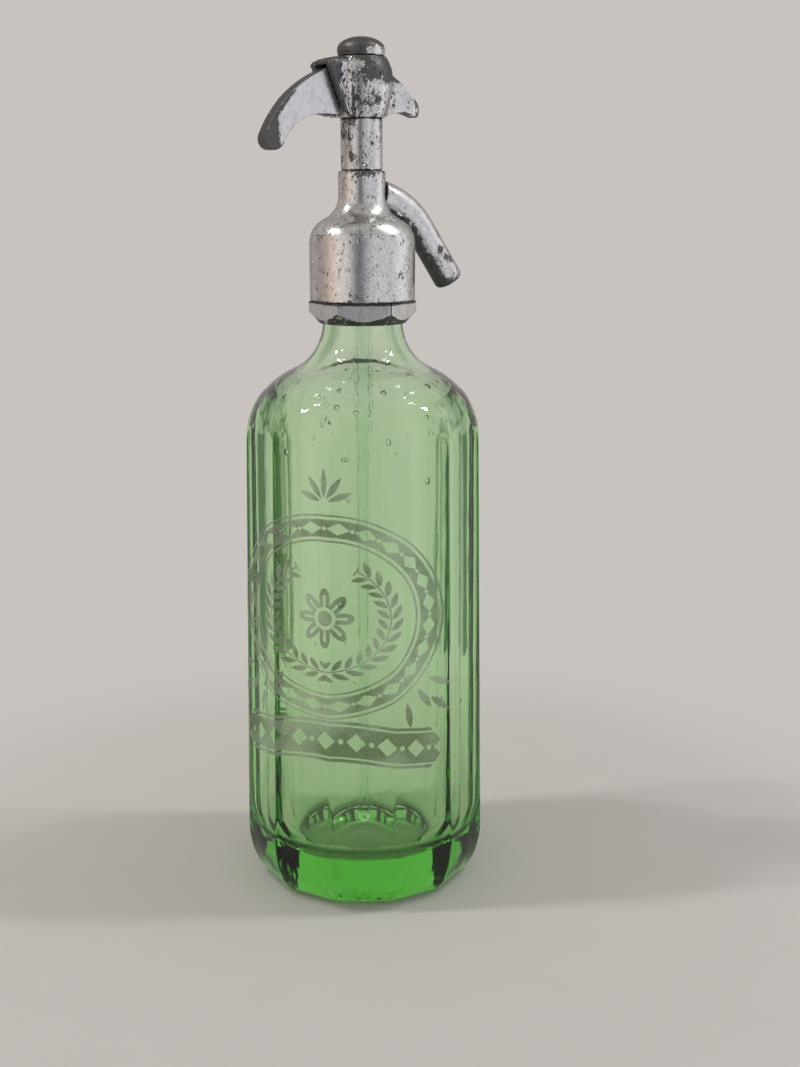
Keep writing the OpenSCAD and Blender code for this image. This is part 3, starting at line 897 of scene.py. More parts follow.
class Finishes:
    """Every finish of the siphon, each built once."""

    def __init__(self) -> None:
        """Builds the materials."""
        self.by_slot: dict[Slot, Material] = {
            Slot.BOTTLE: BottleGlass().build(),
            Slot.TUBE: TubeGlass().build(),
            Slot.WORN: WornPlate("worn_plating").build(),
            Slot.DARK: WornPlate("dark_casting").build(),
            Slot.BUSH: PlainMetal("bush_pewter", (0.42, 0.41, 0.40), (0.28, 0.27, 0.26), 0.4).build(),
            Slot.BRASS: PlainMetal("brass", (0.66, 0.47, 0.20), (0.38, 0.27, 0.13)).build(),
            Slot.STEEL: PlainMetal("steel", (0.56, 0.57, 0.58), (0.36, 0.36, 0.37), 0.26).build(),
            Slot.RUBBER: Rubber().build(),
        }

    def dress(self, obj: Object, slot: Slot) -> None:
        """Gives an object the finish of a slot, in place of what it has."""
        obj.data.materials.clear()
        obj.data.materials.append(self.by_slot[slot])

    def dress_node(self, obj: Object, slot: Slot) -> None:
        """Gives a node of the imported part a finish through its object's slots.

        Args:
            obj: The node's object.
            slot: The slot whose finish it gets.
        """
        for material_slot in obj.material_slots:
            material_slot.link = "OBJECT"
            material_slot.material = self.by_slot[slot]


# ---- bench -------------------------------------------------------------------------------------


class Bench:
    """Modelling operations, as a modeller does them by hand."""

    @staticmethod
    def clear() -> None:
        """Deselects everything in object mode."""
        if bpy.context.object is not None and bpy.context.object.mode != "OBJECT":
            bpy.ops.object.mode_set(mode="OBJECT")
        bpy.ops.object.select_all(action="DESELECT")

    @staticmethod
    def pick(obj: Object) -> None:
        """Makes one object the only one selected, and active.

        Args:
            obj: The object.
        """
        Bench.clear()
        obj.select_set(True)
        bpy.context.view_layer.objects.active = obj

    @staticmethod
    def edit(obj: Object) -> None:
        """Opens one object in edit mode with all of it selected.

        Args:
            obj: The object.
        """
        Bench.pick(obj)
        bpy.ops.object.mode_set(mode="EDIT")
        bpy.ops.mesh.select_all(action="SELECT")

    @staticmethod
    def done() -> None:
        """Leaves edit mode."""
        bpy.ops.object.mode_set(mode="OBJECT")

    @staticmethod
    def add(name: str, data: bpy.types.ID) -> Object:
        """Puts an object with this data in the scene.

        Args:
            name: The new object's name.
            data: Its mesh, light or camera.

        Returns:
            The new object.
        """
        obj = bpy.data.objects.new(name, data)
        bpy.context.scene.collection.objects.link(obj)
        return obj

    @staticmethod
    def copy_node(node: str, piece: str) -> Object:
        """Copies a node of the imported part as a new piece, with its doubled vertices merged.

        Args:
            node: The name of the node.
            piece: The new object's name.

        Returns:
            The copy, with a mesh of its own.
        """
        obj = Bench.add(piece, bpy.data.objects[node].data.copy())
        Bench.edit(obj)
        bpy.ops.mesh.remove_doubles(threshold=0.001 * MM)
        Bench.done()
        return obj

    @staticmethod
    def modify(obj: Object, kind: str, **settings: object) -> None:
        """Adds a modifier and applies it.

        Args:
            obj: The object.
            kind: The modifier's type.
            **settings: Its properties by name.
        """
        Bench.pick(obj)
        modifier = obj.modifiers.new(kind.lower(), kind)
        for key, value in settings.items():
            setattr(modifier, key, value)
        bpy.ops.object.modifier_apply(modifier=modifier.name)

    @staticmethod
    def lathe(name: str, outline: Sequence[Point], steps: int) -> Object:
        """Turns an outline about +Z.

        Args:
            name: The new object's name.
            outline: Radius and height of each point, in millimetres.
            steps: Segments round the axis.

        Returns:
            A closed object with its faces outwards.
        """
        Bench.clear()
        bpy.ops.mesh.primitive_plane_add(size=MM, location=(0, 0, 0))
        obj = bpy.context.object
        obj.name = name
        bpy.ops.object.mode_set(mode="EDIT")
        bpy.ops.mesh.select_all(action="SELECT")
        bpy.ops.mesh.merge(type="CENTER")
        radius, height = outline[0]
        bpy.ops.transform.translate(value=(radius * MM, 0, height * MM))
        for (r0, z0), (r1, z1) in zip(outline, outline[1:]):
            move = {"value": ((r1 - r0) * MM, 0, (z1 - z0) * MM)}
            bpy.ops.mesh.extrude_vertices_move(TRANSFORM_OT_translate=move)
        bpy.ops.mesh.select_all(action="SELECT")
        bpy.ops.mesh.spin(steps=steps, angle=2 * math.pi, center=(0, 0, 0), axis=(0, 0, 1))
        bpy.ops.mesh.select_all(action="SELECT")
        bpy.ops.mesh.remove_doubles(threshold=0.002 * MM)
        bpy.ops.mesh.normals_make_consistent(inside=False)
        Bench.done()
        return obj

    @staticmethod
    def points(obj: Object) -> Array:
        """The places of a mesh's vertices, in millimetres.

        Args:
            obj: The object.

        Returns:
            A row of x, y and z for each vertex.
        """
        co = np.empty(len(obj.data.vertices) * 3)
        obj.data.vertices.foreach_get("co", co)
        return co.reshape(-1, 3) / MM

    @staticmethod
    def normals(obj: Object) -> Array:
        """The directions in which a mesh's vertices face.

        Args:
            obj: The object.

        Returns:
            A row of x, y and z for each vertex.
        """
        facing = np.empty(len(obj.data.vertices) * 3)
        obj.data.vertices.foreach_get("normal", facing)
        return facing.reshape(-1, 3)

    @staticmethod
    def place(obj: Object, points: Array) -> None:
        """Moves a mesh's vertices to these places, in millimetres."""
        obj.data.vertices.foreach_set("co", (points * MM).ravel())
        obj.data.update()

    @staticmethod
    def store(obj: Object, name: str, values: Array) -> None:
        """Stores a value at each vertex."""
        attribute = obj.data.attributes.new(name, "FLOAT", "POINT")
        attribute.data.foreach_set("value", values.astype(np.float32))

    @staticmethod
    def smooth(obj: Object, angle: float = 180.0) -> None:
        """Shades a mesh smooth up to an angle in degrees.

        Args:
            obj: The object.
            angle: Edges that turn by more than this, in degrees, stay sharp.
        """
        Bench.pick(obj)
        if angle >= 180:
            bpy.ops.object.shade_smooth()
        else:
            bpy.ops.object.shade_smooth_by_angle(angle=math.radians(angle))


def ramp(values: Array, low: float, high: float) -> Array:
    """A smooth step from 0 at low to 1 at high, which may be the lower of the two."""
    share = np.clip((values - low) / (high - low), 0, 1)
    return share * share * (3 - 2 * share)


def arc(centre: Point, radius: float, start: float, end: float, steps: int) -> list[Point]:
    """Points of an arc.

    Args:
        centre: Its centre.
        radius: Its radius.
        start: Its first angle, in degrees.
        end: Its last angle, in degrees.
        steps: Pieces that it is cut into.

    Returns:
        The points, both ends included.
    """
    turns = [math.radians(start + (end - start) * i / steps) for i in range(steps + 1)]
    return [(centre[0] + radius * math.cos(t), centre[1] + radius * math.sin(t)) for t in turns]


# ---- bottle ------------------------------------------------------------------------------------


@dataclass
class GlassBottle:
    """The bottle: a thick round wall whose outside is pressed into tall panels. Millimetres."""

    ridge_low: float = 49.5
    ridge_high: float = 47.0
    shoulder_z: float = 176.0
    heel_z: float = 21.0
    ring_radius: float = 38.0
    ring_width: float = 3.0
    punt: float = 4.0
    shoulder_round: float = 34.0
    flare_round: float = 20.0
    neck_radius: float = 15.4
    bore_radius: float = 9.8
    wall: float = 10.6
    hollow_round: float = 25.0
    hollow_rise: float = 6.0
    floor: float = 15.0
    floor_round: float = 15.0
    neck_z: float = 225.135
    groove_radius: float = 13.4
    groove_z: float = 226.935
    bead_z: float = 232.935
    mouth_z: float = 242.135
    panels: int = 12
    hollow: float = 1.0
    dish: float = 385.0
    ridge_soft: float = 7.5
    swell: float = 1.7
    around: int = 360
    heel_rows: int = 26
    body_rows: int = 30
    shoulder_rows: int = 44
    flare_rows: int = 24
    hollow_rows: int = 30
    wall_rows: int = 4
    floor_rows: int = 14
    heel_over: float = 3.0
    ridge_over: float = 0.3
    wall_margin: float = 1.5
    floor_margin: float = 2.0
    foot_margin: float = 2.5
    neck_margin: float = 10.0
    seed: int = 11
    bubbles: int = 95
    bubble_faces: int = 3
    small_share: float = 0.55
    small_bubble: Point = (0.25, 0.6)
    large_bubble: Point = (0.7, 1.25)
    bubble_depth: Point = (1.8, 5.0)
    bubble_flatness: float = 0.4
    bubble_length: Point = (0.9, 1.35)
    shoulder_share: float = 0.72
    bubble_low_z: float = 60.0

    def bell_angle(self) -> float:
        """Angle, in degrees, at which the shoulder's round hands over to the neck's flare."""
        rise = self.neck_radius + self.flare_round - self.ridge_high + self.shoulder_round
        return math.degrees(math.acos(rise / (self.shoulder_round + self.flare_round)))

    def outside(self) -> list[Point]:
        """The outside, from the middle of the underside up to the mouth.

        Returns:
            Radius and height of each point.
        """
        turn = self.bell_angle()
        inner = self.ring_radius - self.ring_width
        outline: list[Point] = [(0, self.punt), (inner - 7, self.punt), (inner - 3, self.punt - 1.2)]
        outline += [(inner - 0.6, 0.25), (inner + 0.4, 0.0), (self.ring_radius - 0.8, 0.0)]
        foot = self.ring_radius - 0.3
        for i in range(1, self.heel_rows + 1):
            t = math.radians(90 * i / self.heel_rows)
            reach = foot + (self.ridge_low - self.ring_radius + 0.3) * math.sin(t)
            outline.append((reach, self.heel_z * (1 - math.cos(t))))
        for i in range(1, self.body_rows + 1):
            share = i / self.body_rows
            reach = self.ridge_low + (self.ridge_high - self.ridge_low) * share
            outline.append((reach, self.heel_z + (self.shoulder_z - self.heel_z) * share))
        centre = (self.ridge_high - self.shoulder_round, self.shoulder_z)
        outline += arc(centre, self.shoulder_round, 0, turn, self.shoulder_rows)[1:]
        centre = (self.neck_radius + self.flare_round, self.neck_z)
        outline += arc(centre, self.flare_round, 180 + turn, 180, self.flare_rows)[1:]
        outline += [
            (self.neck_radius, self.groove_z),
            (self.groove_radius, self.groove_z + 0.4),
            (self.groove_radius, self.bead_z - 0.4),
            (self.neck_radius, self.bead_z),
            (self.neck_radius, self.mouth_z - 1),
            (self.neck_radius - 1, self.mouth_z),
        ]
        return outline

    def inside(self) -> list[Point]:
        """The hollow, from the mouth down to the middle of the floor.

        Returns:
            Radius and height of each point.
        """
        reach = self.ridge_high - self.wall
        convex = self.hollow_round
        concave = self.flare_round + self.neck_radius - self.bore_radius
        cosine = (self.bore_radius + concave - reach + convex) / (convex + concave)
        turn = math.degrees(math.acos(cosine))
        shoulder = self.shoulder_z + self.hollow_rise
        top = shoulder + (convex + concave) * math.sin(math.acos(cosine))
        outline: list[Point] = [(self.bore_radius + 1, self.mouth_z), (self.bore_radius, self.mouth_z - 1)]
        outline += arc((self.bore_radius + concave, top), concave, 180, 180 + turn, self.flare_rows)
        outline += arc((reach - convex, shoulder), convex, turn, 0, self.hollow_rows)[1:]
        low = self.floor + self.floor_round
        rows = self.wall_rows
        outline += [(reach, shoulder + (low - shoulder) * i / rows) for i in range(1, rows)]
        outline += arc((reach - self.floor_round, low), self.floor_round, 0, -90, self.floor_rows)
        outline += [((reach - self.floor_round) * share, self.floor) for share in (0.66, 0.33, 0)]
        return outline

    def flat(self, height: Array) -> Array:
        """Distance of the panels' middles from the axis at each height.

        Args:
            height: The heights.

        Returns:
            The distances.
        """
        share = np.clip((height - self.heel_z) / (self.shoulder_z - self.heel_z), 0, 2)
        ridge = self.ridge_low + (self.ridge_high - self.ridge_low) * share
        heel_top = self.heel_z + self.heel_over
        low = np.clip(height / heel_top, 0, 1)
        heel = self.ring_radius + (self.ridge_low - self.ring_radius) * np.sqrt(1 - (1 - low) ** 2)
        ridge = np.where(height < heel_top, np.minimum(heel, ridge), ridge)
        return (ridge + self.ridge_over) * math.cos(math.pi / self.panels) - self.hollow

    def press_panels(self, obj: Object) -> None:
        """Presses the panels into the outside of the turned bottle.

        Args:
            obj: The bottle as it was turned.
        """
        co = Bench.points(obj)
        radius = np.hypot(co[:, 0], co[:, 1])
        turn = np.arctan2(co[:, 1], co[:, 0])
        pitch = 2 * math.pi / self.panels
        off = (turn + pitch / 2) % pitch - pitch / 2
        middle = self.flat(co[:, 2])
        reach = middle + self.dish
        across = reach * np.sin(off)
        panel = reach * np.cos(off) - np.sqrt(np.maximum(self.dish**2 - across**2, 0))
        soft = self.ridge_soft
        near = np.maximum(soft - np.abs(radius - panel), 0) / soft
        pressed = np.minimum(radius, panel) - near * near * soft / 4 + near * self.swell
        height = co[:, 2]
        wall = self.ridge_high - self.wall + self.wall_margin
        shell = radius > self.ring_radius - self.foot_margin
        shell &= height < self.neck_z - self.neck_margin
        shell &= (radius > wall) | (height < self.floor - self.floor_margin)
        shell &= ~((height > self.shoulder_z) & (radius < wall))
        shell &= radius > 1
        factor = np.where(shell, pressed / np.maximum(radius, 1e-6), 1.0)
        co[:, :2] *= factor[:, None]
        Bench.place(obj, co)

    def blow_bubbles(self, obj: Object) -> None:
        """Adds flat air bubbles to the glass of the shoulder and the wall.

        Args:
            obj: The bottle, which the bubbles are joined to.
        """
        rng = np.random.default_rng(self.seed)
        turn_end = math.radians(self.bell_angle())
        made = []
        for _ in range(self.bubbles):
            around = rng.uniform(-math.pi, math.pi)
            sizes = self.small_bubble if rng.random() < self.small_share else self.large_bubble
            size = rng.uniform(*sizes)
            deep = rng.uniform(*self.bubble_depth)
            if rng.random() < self.shoulder_share:
                turn = rng.uniform(0.05, 0.9) * turn_end
                reach = self.shoulder_round - deep
                radius = self.ridge_high - self.shoulder_round + reach * math.cos(turn)
                height = self.shoulder_z + reach * math.sin(turn)
            else:
                turn = 0.0
                height = rng.uniform(self.bubble_low_z, self.shoulder_z)
                radius = self.ridge_high - 0.8 - deep
            Bench.clear()
            x = radius * math.cos(around)
            y = radius * math.sin(around)
            bpy.ops.mesh.primitive_ico_sphere_add(
                subdivisions=self.bubble_faces,
                radius=size * MM,
                location=(x * MM, y * MM, height * MM),
                rotation=(0, -turn, around),
                scale=(self.bubble_flatness, 1.0, rng.uniform(*self.bubble_length)),
            )
            bubble = bpy.context.object
            bpy.ops.object.mode_set(mode="EDIT")
            bpy.ops.mesh.select_all(action="SELECT")
            bpy.ops.mesh.flip_normals()
            Bench.done()
            made.append(bubble)
        Bench.pick(obj)
        for bubble in made:
            bubble.select_set(True)
        bpy.ops.object.join()

    def make(self, finishes: Finishes) -> Object:
        """Makes the bottle in place of its solid.

        Args:
            finishes: The finishes to dress it with.

        Returns:
            The bottle.
        """
        obj = Bench.lathe("fluted_bottle", self.outside() + self.inside(), self.around)
        self.press_panels(obj)
        self.blow_bubbles(obj)
        Bench.smooth(obj)
        finishes.dress(obj, Slot.BOTTLE)
        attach(obj, Body.SIPHON.value)
        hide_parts("bottle")
        return obj


# ---- castings ----------------------------------------------------------------------------------

Wear = Callable[[Array, Array], Array]


@dataclass
class Casting:
    """A hand-finished casting: its solid's form with soft edges, small dents, worn places and, on some
    pieces, painted shade and highlights.
    """

    node: str
    piece: str
    slot: Slot
    body: Body = Body.SIPHON
    voxel: float = 0.4
    rounds: int = 3
    dents: float = 0.06
    # Where the piece is worn; on some pieces also where shade and highlights are painted.
    wear_and_painted_light: Wear | None = None
    pitting: Wear | float = 0.0
    swell: Wear | None = None
    relaxing: int = 14
    raised_from: Point = (0.04, 0.22)
    edge_wear: float = 0.32
    dent_size: float = 5.0

    def make(self, finishes: Finishes) -> Object:
        """Makes the casting in place of its node.

        Args:
            finishes: The finishes to dress it with.

        Returns:
            The casting.
        """
        obj = Bench.copy_node(self.node, self.piece)
        Bench.modify(obj, "REMESH", mode="VOXEL", voxel_size=self.voxel * MM, adaptivity=0.0)
        Bench.modify(obj, "SMOOTH", factor=0.5, iterations=self.rounds)
        if self.swell is not None:
            points, facing = Bench.points(obj), Bench.normals(obj)
            Bench.place(obj, points + facing * self.swell(points, facing)[:, None])
        self._dent(obj)
        self._store_wear_and_painted_light(obj)
        Bench.smooth(obj)
        finishes.dress(obj, self.slot)
        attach(obj, self.body.value)
        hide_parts(self.node)
        return obj

    def _dent(self, obj: Object) -> None:
        """Gives the surface the slight unevenness of a hand-finished casting.

        Args:
            obj: The casting.
        """
        if self.dents <= 0:
            return
        cloud = bpy.data.textures.new(self.piece + "_dents", "CLOUDS")
        cloud.noise_scale = self.dent_size * MM
        cloud.noise_depth = 2
        depth = self.dents * MM
        Bench.modify(
            obj, "DISPLACE", texture=cloud, texture_coords="LOCAL", strength=depth, mid_level=1.0
        )

    def _store_wear_and_painted_light(self, obj: Object) -> None:
        """Stores how far each place is worn on raised edges, with the wear, painted shade and painted
        highlights that the piece gives.

        Args:
            obj: The casting.
        """
        before, facing = Bench.points(obj), Bench.normals(obj)
        relaxed = Bench.add(self.piece + "_relaxed", obj.data.copy())
        Bench.modify(relaxed, "SMOOTH", factor=0.5, iterations=self.relaxing)
        raised = ((before - Bench.points(relaxed)) * facing).sum(axis=1)
        bpy.data.objects.remove(relaxed)
        worn = ramp(raised, *self.raised_from) * self.edge_wear
        if self.wear_and_painted_light is not None:
            worn = worn + self.wear_and_painted_light(before, facing)
        Bench.store(obj, "wear_and_painted_light", worn)
        pitting = self.pitting(before, facing) if callable(self.pitting) else self.pitting
        Bench.store(obj, "pitting", np.zeros(len(worn)) + pitting)


def rightward(across: Array) -> Array:
    """How far each place or direction lies to the right, as the photograph's camera sees it."""
    return across[:, 0] * math.cos(VIEW_AZIMUTH) + across[:, 1] * math.sin(VIEW_AZIMUTH)


@dataclass(frozen=True)
class LeverWearAndPaintedLight:
    """The lever is bare along its back, at its tip, and ever farther down its sides. Painted shade
    darkens its underside, a painted highlight lightens its back near the hood, and its arris stays
    bright, partly as polish and partly as a painted highlight.

    Places are in millimetres. A pair is where a ramp starts and where it is full, but for middle,
    which is an x and a z. The same holds for the wear of the other pieces.
    """

    middle: Point = (-11.3, 280.88)
    edge: float = 32.5
    edge_bend: float = 0.0067
    edge_x: float = -44.0
    tip_x: Point = (-32.5, -38.5)
    back_out: Point = (28.0, 30.0)
    # Where the back is painted lighter near the hood, as a highlight.
    back_highlight_x: Point = (-23.0, -17.0)
    band_x: Point = (-24.0, -36.0)
    band_reach: float = 2.4
    below_out: float = 20.6
    below_slope: float = 0.21
    below_x: float = -17.0

    def bare(self, co: Array, facing: Array) -> Array:
        """How bare each place is, with painted shade and painted highlights.

        Args:
            co: Where the places are, in millimetres.
            facing: The directions in which they face.

        Returns:
            The wear, painted shade and painted highlights at each place.
        """
        x = co[:, 0]
        out = np.hypot(x - self.middle[0], co[:, 2] - self.middle[1])
        edge = self.edge + self.edge_bend * (x - self.edge_x) ** 2
        flank = np.abs(facing[:, 1])
        tip = ramp(x, *self.tip_x)
        back = ramp(flank, 0.75, 0.45) * ramp(out, *self.back_out)
        # Painted highlight: the back is made lighter near the hood.
        back = back * (0.5 - 0.2 * ramp(x, *self.back_highlight_x))
        reach = self.band_reach * ramp(x, *self.band_x) - 0.2
        band = ramp(out - edge + reach, -1.2, 1.0) * 0.5
        # Painted shade: a dark band along the lever's underside.
        under = out + self.below_slope * (x - self.below_x) - self.below_out
        below = ramp(under, 1.2, 0.5) * 0.45
        # The arris is kept bright: partly polished plating, partly a painted highlight.
        arris = ramp(flank, 0.35, 0.55) * ramp(flank, 0.95, 0.8) * 0.4
        worn = np.maximum(np.maximum(back, band) - arris * (1 - tip), np.maximum(below, tip * 0.58))
        side = ramp(flank, 0.6, 0.95) * (1 - np.clip(worn * 2.5, 0, 1))
        return worn - side * 0.2


@dataclass(frozen=True)
class HousingWearAndPaintedShade:
    """The housing is bare on the hood's lip and roof and on its crown, and chipped all over. It has
    painted shade in the hood's mouth, in the crease beside the hood, and under the finger rest.
    """

    mouth_z: float = 302.0
    mouth_slope: float = 0.40
    mouth_x: Point = (-8.9, -9.8)
    rim_x: Point = (-8.0, -9.0)
    rim_roof_z: Point = (311.0, 315.0)
    rim_height: float = 0.6
    lip_x: Point = (-9.5, -13.5)
    lip_z: Point = (309.0, 316.0)
    roof_z: Point = (317.0, 320.5)
    crown_z: Point = (309.5, 316.0)
    crown_right: Point = (-1.0, 5.0)
    egg_left: Point = (-3.5, -1.0)
    egg_right: Point = (9.0, 6.0)
    rest_x: Point = (14.0, 17.0)
    rest_tip_x: Point = (20.8, 22.2)
    crease_right: float = -2.6
    crease_width: Point = (1.1, 0.4)
    crease_z: Point = (317.0, 313.0)
    egg_x: Point = (12.0, 9.0)
    smoother_x: Point = (10.0, 14.0)

    def _behind(self, co: Array) -> Array:
        """Each place's x, followed along the mouth's slope to the height mouth_z."""
        return co[:, 0] + (co[:, 2] - self.mouth_z) * self.mouth_slope

    def bare(self, co: Array, facing: Array) -> Array:
        """How bare each place is, with painted shade.

        Args:
            co: Where the places are, in millimetres.
            facing: The directions in which they face.

        Returns:
            The wear and painted shade at each place.
        """
        x, z = co[:, 0], co[:, 2]
        right = rightward(co)
        upward = facing[:, 2]
        back = -facing[:, 0]
        lip = ramp(x, *self.lip_x) * ramp(z, *self.lip_z)
        # Painted shade in the hood's mouth.
        mouth = ramp(self._behind(co), *self.mouth_x)
        roof = ramp(z, *self.roof_z) * ramp(upward, 0.1, 0.7)
        crown = ramp(z, *self.crown_z) * ramp(right, *self.crown_right)
        egg = ramp(right, *self.egg_left) * ramp(right, *self.egg_right)
        # Painted shade under the finger rest and along its tip.
        rest = ramp(x, *self.rest_x) * ramp(upward, 0.1, -0.5) + ramp(x, *self.rest_tip_x)
        # Painted shade in the crease between the hood and the body.
        crease_shade = ramp(np.abs(right - self.crease_right), *self.crease_width) * ramp(z, *self.crease_z)
        bare = np.maximum.reduce([
            lip * 0.5, mouth * 0.6, roof * 0.45, crown * 0.5, rest * 0.32, egg * 0.17, crease_shade * 0.4,
        ])
        arris = ramp(back, 0.3, 0.45) * ramp(back, 0.85, 0.7) * mouth * (1 - roof)
        return bare - arris * 0.5 + 0.03 * ramp(x, *self.egg_x)

    def pitting(self, co: Array, facing: Array) -> Array:
        """How pitted each place is: less so towards the finger rest's tip."""
        return 0.9 - ramp(co[:, 0], *self.smoother_x) * 0.75

    def rim(self, co: Array, facing: Array) -> Array:
        """How far the outside stands out, in millimetres, in the rolled rim round the hood's mouth.

        Args:
            co: Where the places are, in millimetres.
            facing: The directions in which they face.

        Returns:
            The height of the rim at each place.
        """
        side = facing[:, 1] * np.sign(co[:, 1]) * 0.8
        outward = side + facing[:, 2] * ramp(co[:, 2], *self.rim_roof_z)
        return ramp(self._behind(co), *self.rim_x) * ramp(outward, 0.1, 0.7) * self.rim_height


@dataclass(frozen=True)
class SpoutWearAndPaintedShade:
    """The spout has painted shade below, where it faces the bottle, and on its right side.
    It is darker lower down, and bare at its outlet.
    """

    lower_z: Point = (268.0, 244.0)
    outlet_z: Point = (245.0, 239.0)

    def bare(self, co: Array, facing: Array) -> Array:
        """How dark each place is: painted shade below and on the right, darker lower down, bare at the
        outlet.

        Args:
            co: Where the places are, in millimetres.
            facing: The directions in which they face.

        Returns:
            The wear and painted shade at each place.
        """
        right = rightward(facing)
        down = ramp(co[:, 2], *self.lower_z)
        # Painted shade: darker where the spout faces down towards the bottle, and where it faces right.
        under = ramp(-facing[:, 2] * 0.7 - right * 0.7, 0.0, 0.5)
        away = ramp(right - facing[:, 2] * 0.3, 0.35, 0.8)
        outlet = ramp(co[:, 2], *self.outlet_z)
        return under * 0.38 + away * 0.1 + down * 0.1 + outlet * 0.2


@dataclass(frozen=True)
class StemWearAndPaintedShade:
    """Wear of the bell, column, collar and cap, all on the bottle's axis, with painted shade on the
    collar.
    """

    bell_rim_z: Point = (277.5, 280.5)
    bell_foot_z: Point = (233.9, 233.3)
    column_top_z: Point = (288.0, 299.0)
    joint_z: Point = (231.7, 232.4)
    dome_foot_z: float = 324.0
    chips_z: Point = (2.4, 0.8)
    chips_right: Point = (0.5, 3.5)

    def bell(self, co: Array, facing: Array) -> Array:
        """The bell keeps its plating, apart from the rim under the column and its lower edge."""
        return ramp(co[:, 2], *self.bell_rim_z) * 0.2 + ramp(co[:, 2], *self.bell_foot_z) * 0.4

    def column(self, co: Array, facing: Array) -> Array:
        """The column is chipped, most of all at its upper end and on the lever's side."""
        left = ramp(rightward(facing), 0.1, -0.6)
        return 0.04 + left * 0.09 + ramp(co[:, 2], *self.column_top_z) * (0.06 + left * 0.12)

    def collar(self, co: Array, facing: Array) -> Array:
        """The collar is bright on its facets, with painted shade on its underside and in the joint above
        it.

        Args:
            co: Where the places are, in millimetres.
            facing: The directions in which they face.

        Returns:
            The wear and painted shade at each place.
        """
        # Painted shade in the joint between the collar and the bell above it.
        joint = ramp(co[:, 2], *self.joint_z)
        facet = ramp(np.abs(facing[:, 2]), 0.5, 0.2) * (1 - joint)
        # Painted shade on the collar's underside, which faces down.
        return ramp(facing[:, 2], -0.1, -0.6) * 0.42 - facet * 0.2 + joint * 0.6

    def cap(self, co: Array, facing: Array) -> Array:
        """The cap is bare nearly all over, but for chips of plating at the foot of its dome."""
        chips = ramp(np.abs(co[:, 2] - self.dome_foot_z), *self.chips_z)
        return 0.62 - ramp(rightward(co), *self.chips_right) * chips * 0.52


HOUSING = HousingWearAndPaintedShade()
STEM = StemWearAndPaintedShade()

HEAD_CASTINGS: tuple[Casting, ...] = (
    Casting("head_body", "bell", Slot.WORN, voxel=0.45, rounds=2, wear_and_painted_light=STEM.bell, pitting=0.55),
    Casting("spout", "spout_pipe", Slot.WORN, voxel=0.45, rounds=2, wear_and_painted_light=SpoutWearAndPaintedShade().bare),
    Casting("column", "neck_column", Slot.WORN, voxel=0.4, rounds=2, wear_and_painted_light=STEM.column, pitting=0.8),
    Casting(
        "lever_housing", "hooded_housing", Slot.WORN, voxel=0.32, rounds=5, wear_and_painted_light=HOUSING.bare,
        pitting=HOUSING.pitting, swell=HOUSING.rim,
    ),
    Casting(
        "lever", "thumb_lever", Slot.WORN, body=Body.LEVER, voxel=0.32, rounds=6,
        wear_and_painted_light=LeverWearAndPaintedLight().bare,
    ),
    Casting("top_cap", "domed_cap", Slot.DARK, voxel=0.32, rounds=3, wear_and_painted_light=STEM.cap),
    Casting("collar_lever_half", "collar_half_a", Slot.WORN, voxel=0.3, rounds=2, wear_and_painted_light=STEM.collar),
    Casting("collar_spout_half", "collar_half_b", Slot.WORN, voxel=0.3, rounds=2, wear_and_painted_light=STEM.collar),
)


@dataclass(frozen=True)
class ReturnSpring:
    """The plunger's spring, left where its solid stands."""

    node: str = "return_spring"
    piece: str = "coil_spring"
    slot: Slot = Slot.STEEL

    def make(self, finishes: Finishes) -> Object:
        """Makes the spring in place of its node.

        Args:
            finishes: The finishes to dress it with.

        Returns:
            The spring.
        """
        low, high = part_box(self.node)
        obj = Bench.copy_node(self.node, self.piece)
        Bench.smooth(obj, 50)
        finishes.dress(obj, self.slot)
        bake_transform(obj)
        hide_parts(self.node)
        return obj


NODES_BY_SLOT: dict[Slot, tuple[str, ...]] = {
    Slot.TUBE: ("dip_tube",),
    Slot.BUSH: ("tube_bush",),
    Slot.BRASS: ("valve_seat", "valve_screw", "packing_gland", "spring_collar"),
    Slot.STEEL: ("plunger_rod", "lift_pin", "fulcrum_pin"),
    Slot.RUBBER: (
        "mouth_gasket", "bush_gasket", "valve_washer", "stem_packing", "column_gasket", "cap_gasket",
    ),
}


# ---- studio ------------------------------------------------------------------------------------


@dataclass(frozen=True)
class Lamp:
    """A tall soft lamp that faces the siphon."""

    name: str
    turn: float
    lift: float
    energy: float
    width: float = 0.07
    height: float = 0.16
    distance: float = 1.5
    aim_z: float = 0.15

    def light(self) -> None:
        """Sets the lamp up; its turn is to the right of the camera's place, both angles in degrees."""
        data = bpy.data.lights.new(self.name, "AREA")
        data.shape = "RECTANGLE"
        data.size = self.width
        data.size_y = self.height
        data.energy = self.energy
        lamp = Bench.add(self.name, data)
        azimuth = VIEW_AZIMUTH - math.pi / 2 + math.radians(self.turn)
        rise = math.radians(self.lift)
        level = math.cos(rise)
        towards = Vector((math.cos(azimuth) * level, math.sin(azimuth) * level, math.sin(rise)))
        lamp.location = towards * self.distance + Vector((0, 0, self.aim_z))
        lamp.rotation_euler = (-towards).to_track_quat("-Z", "Y").to_euler()


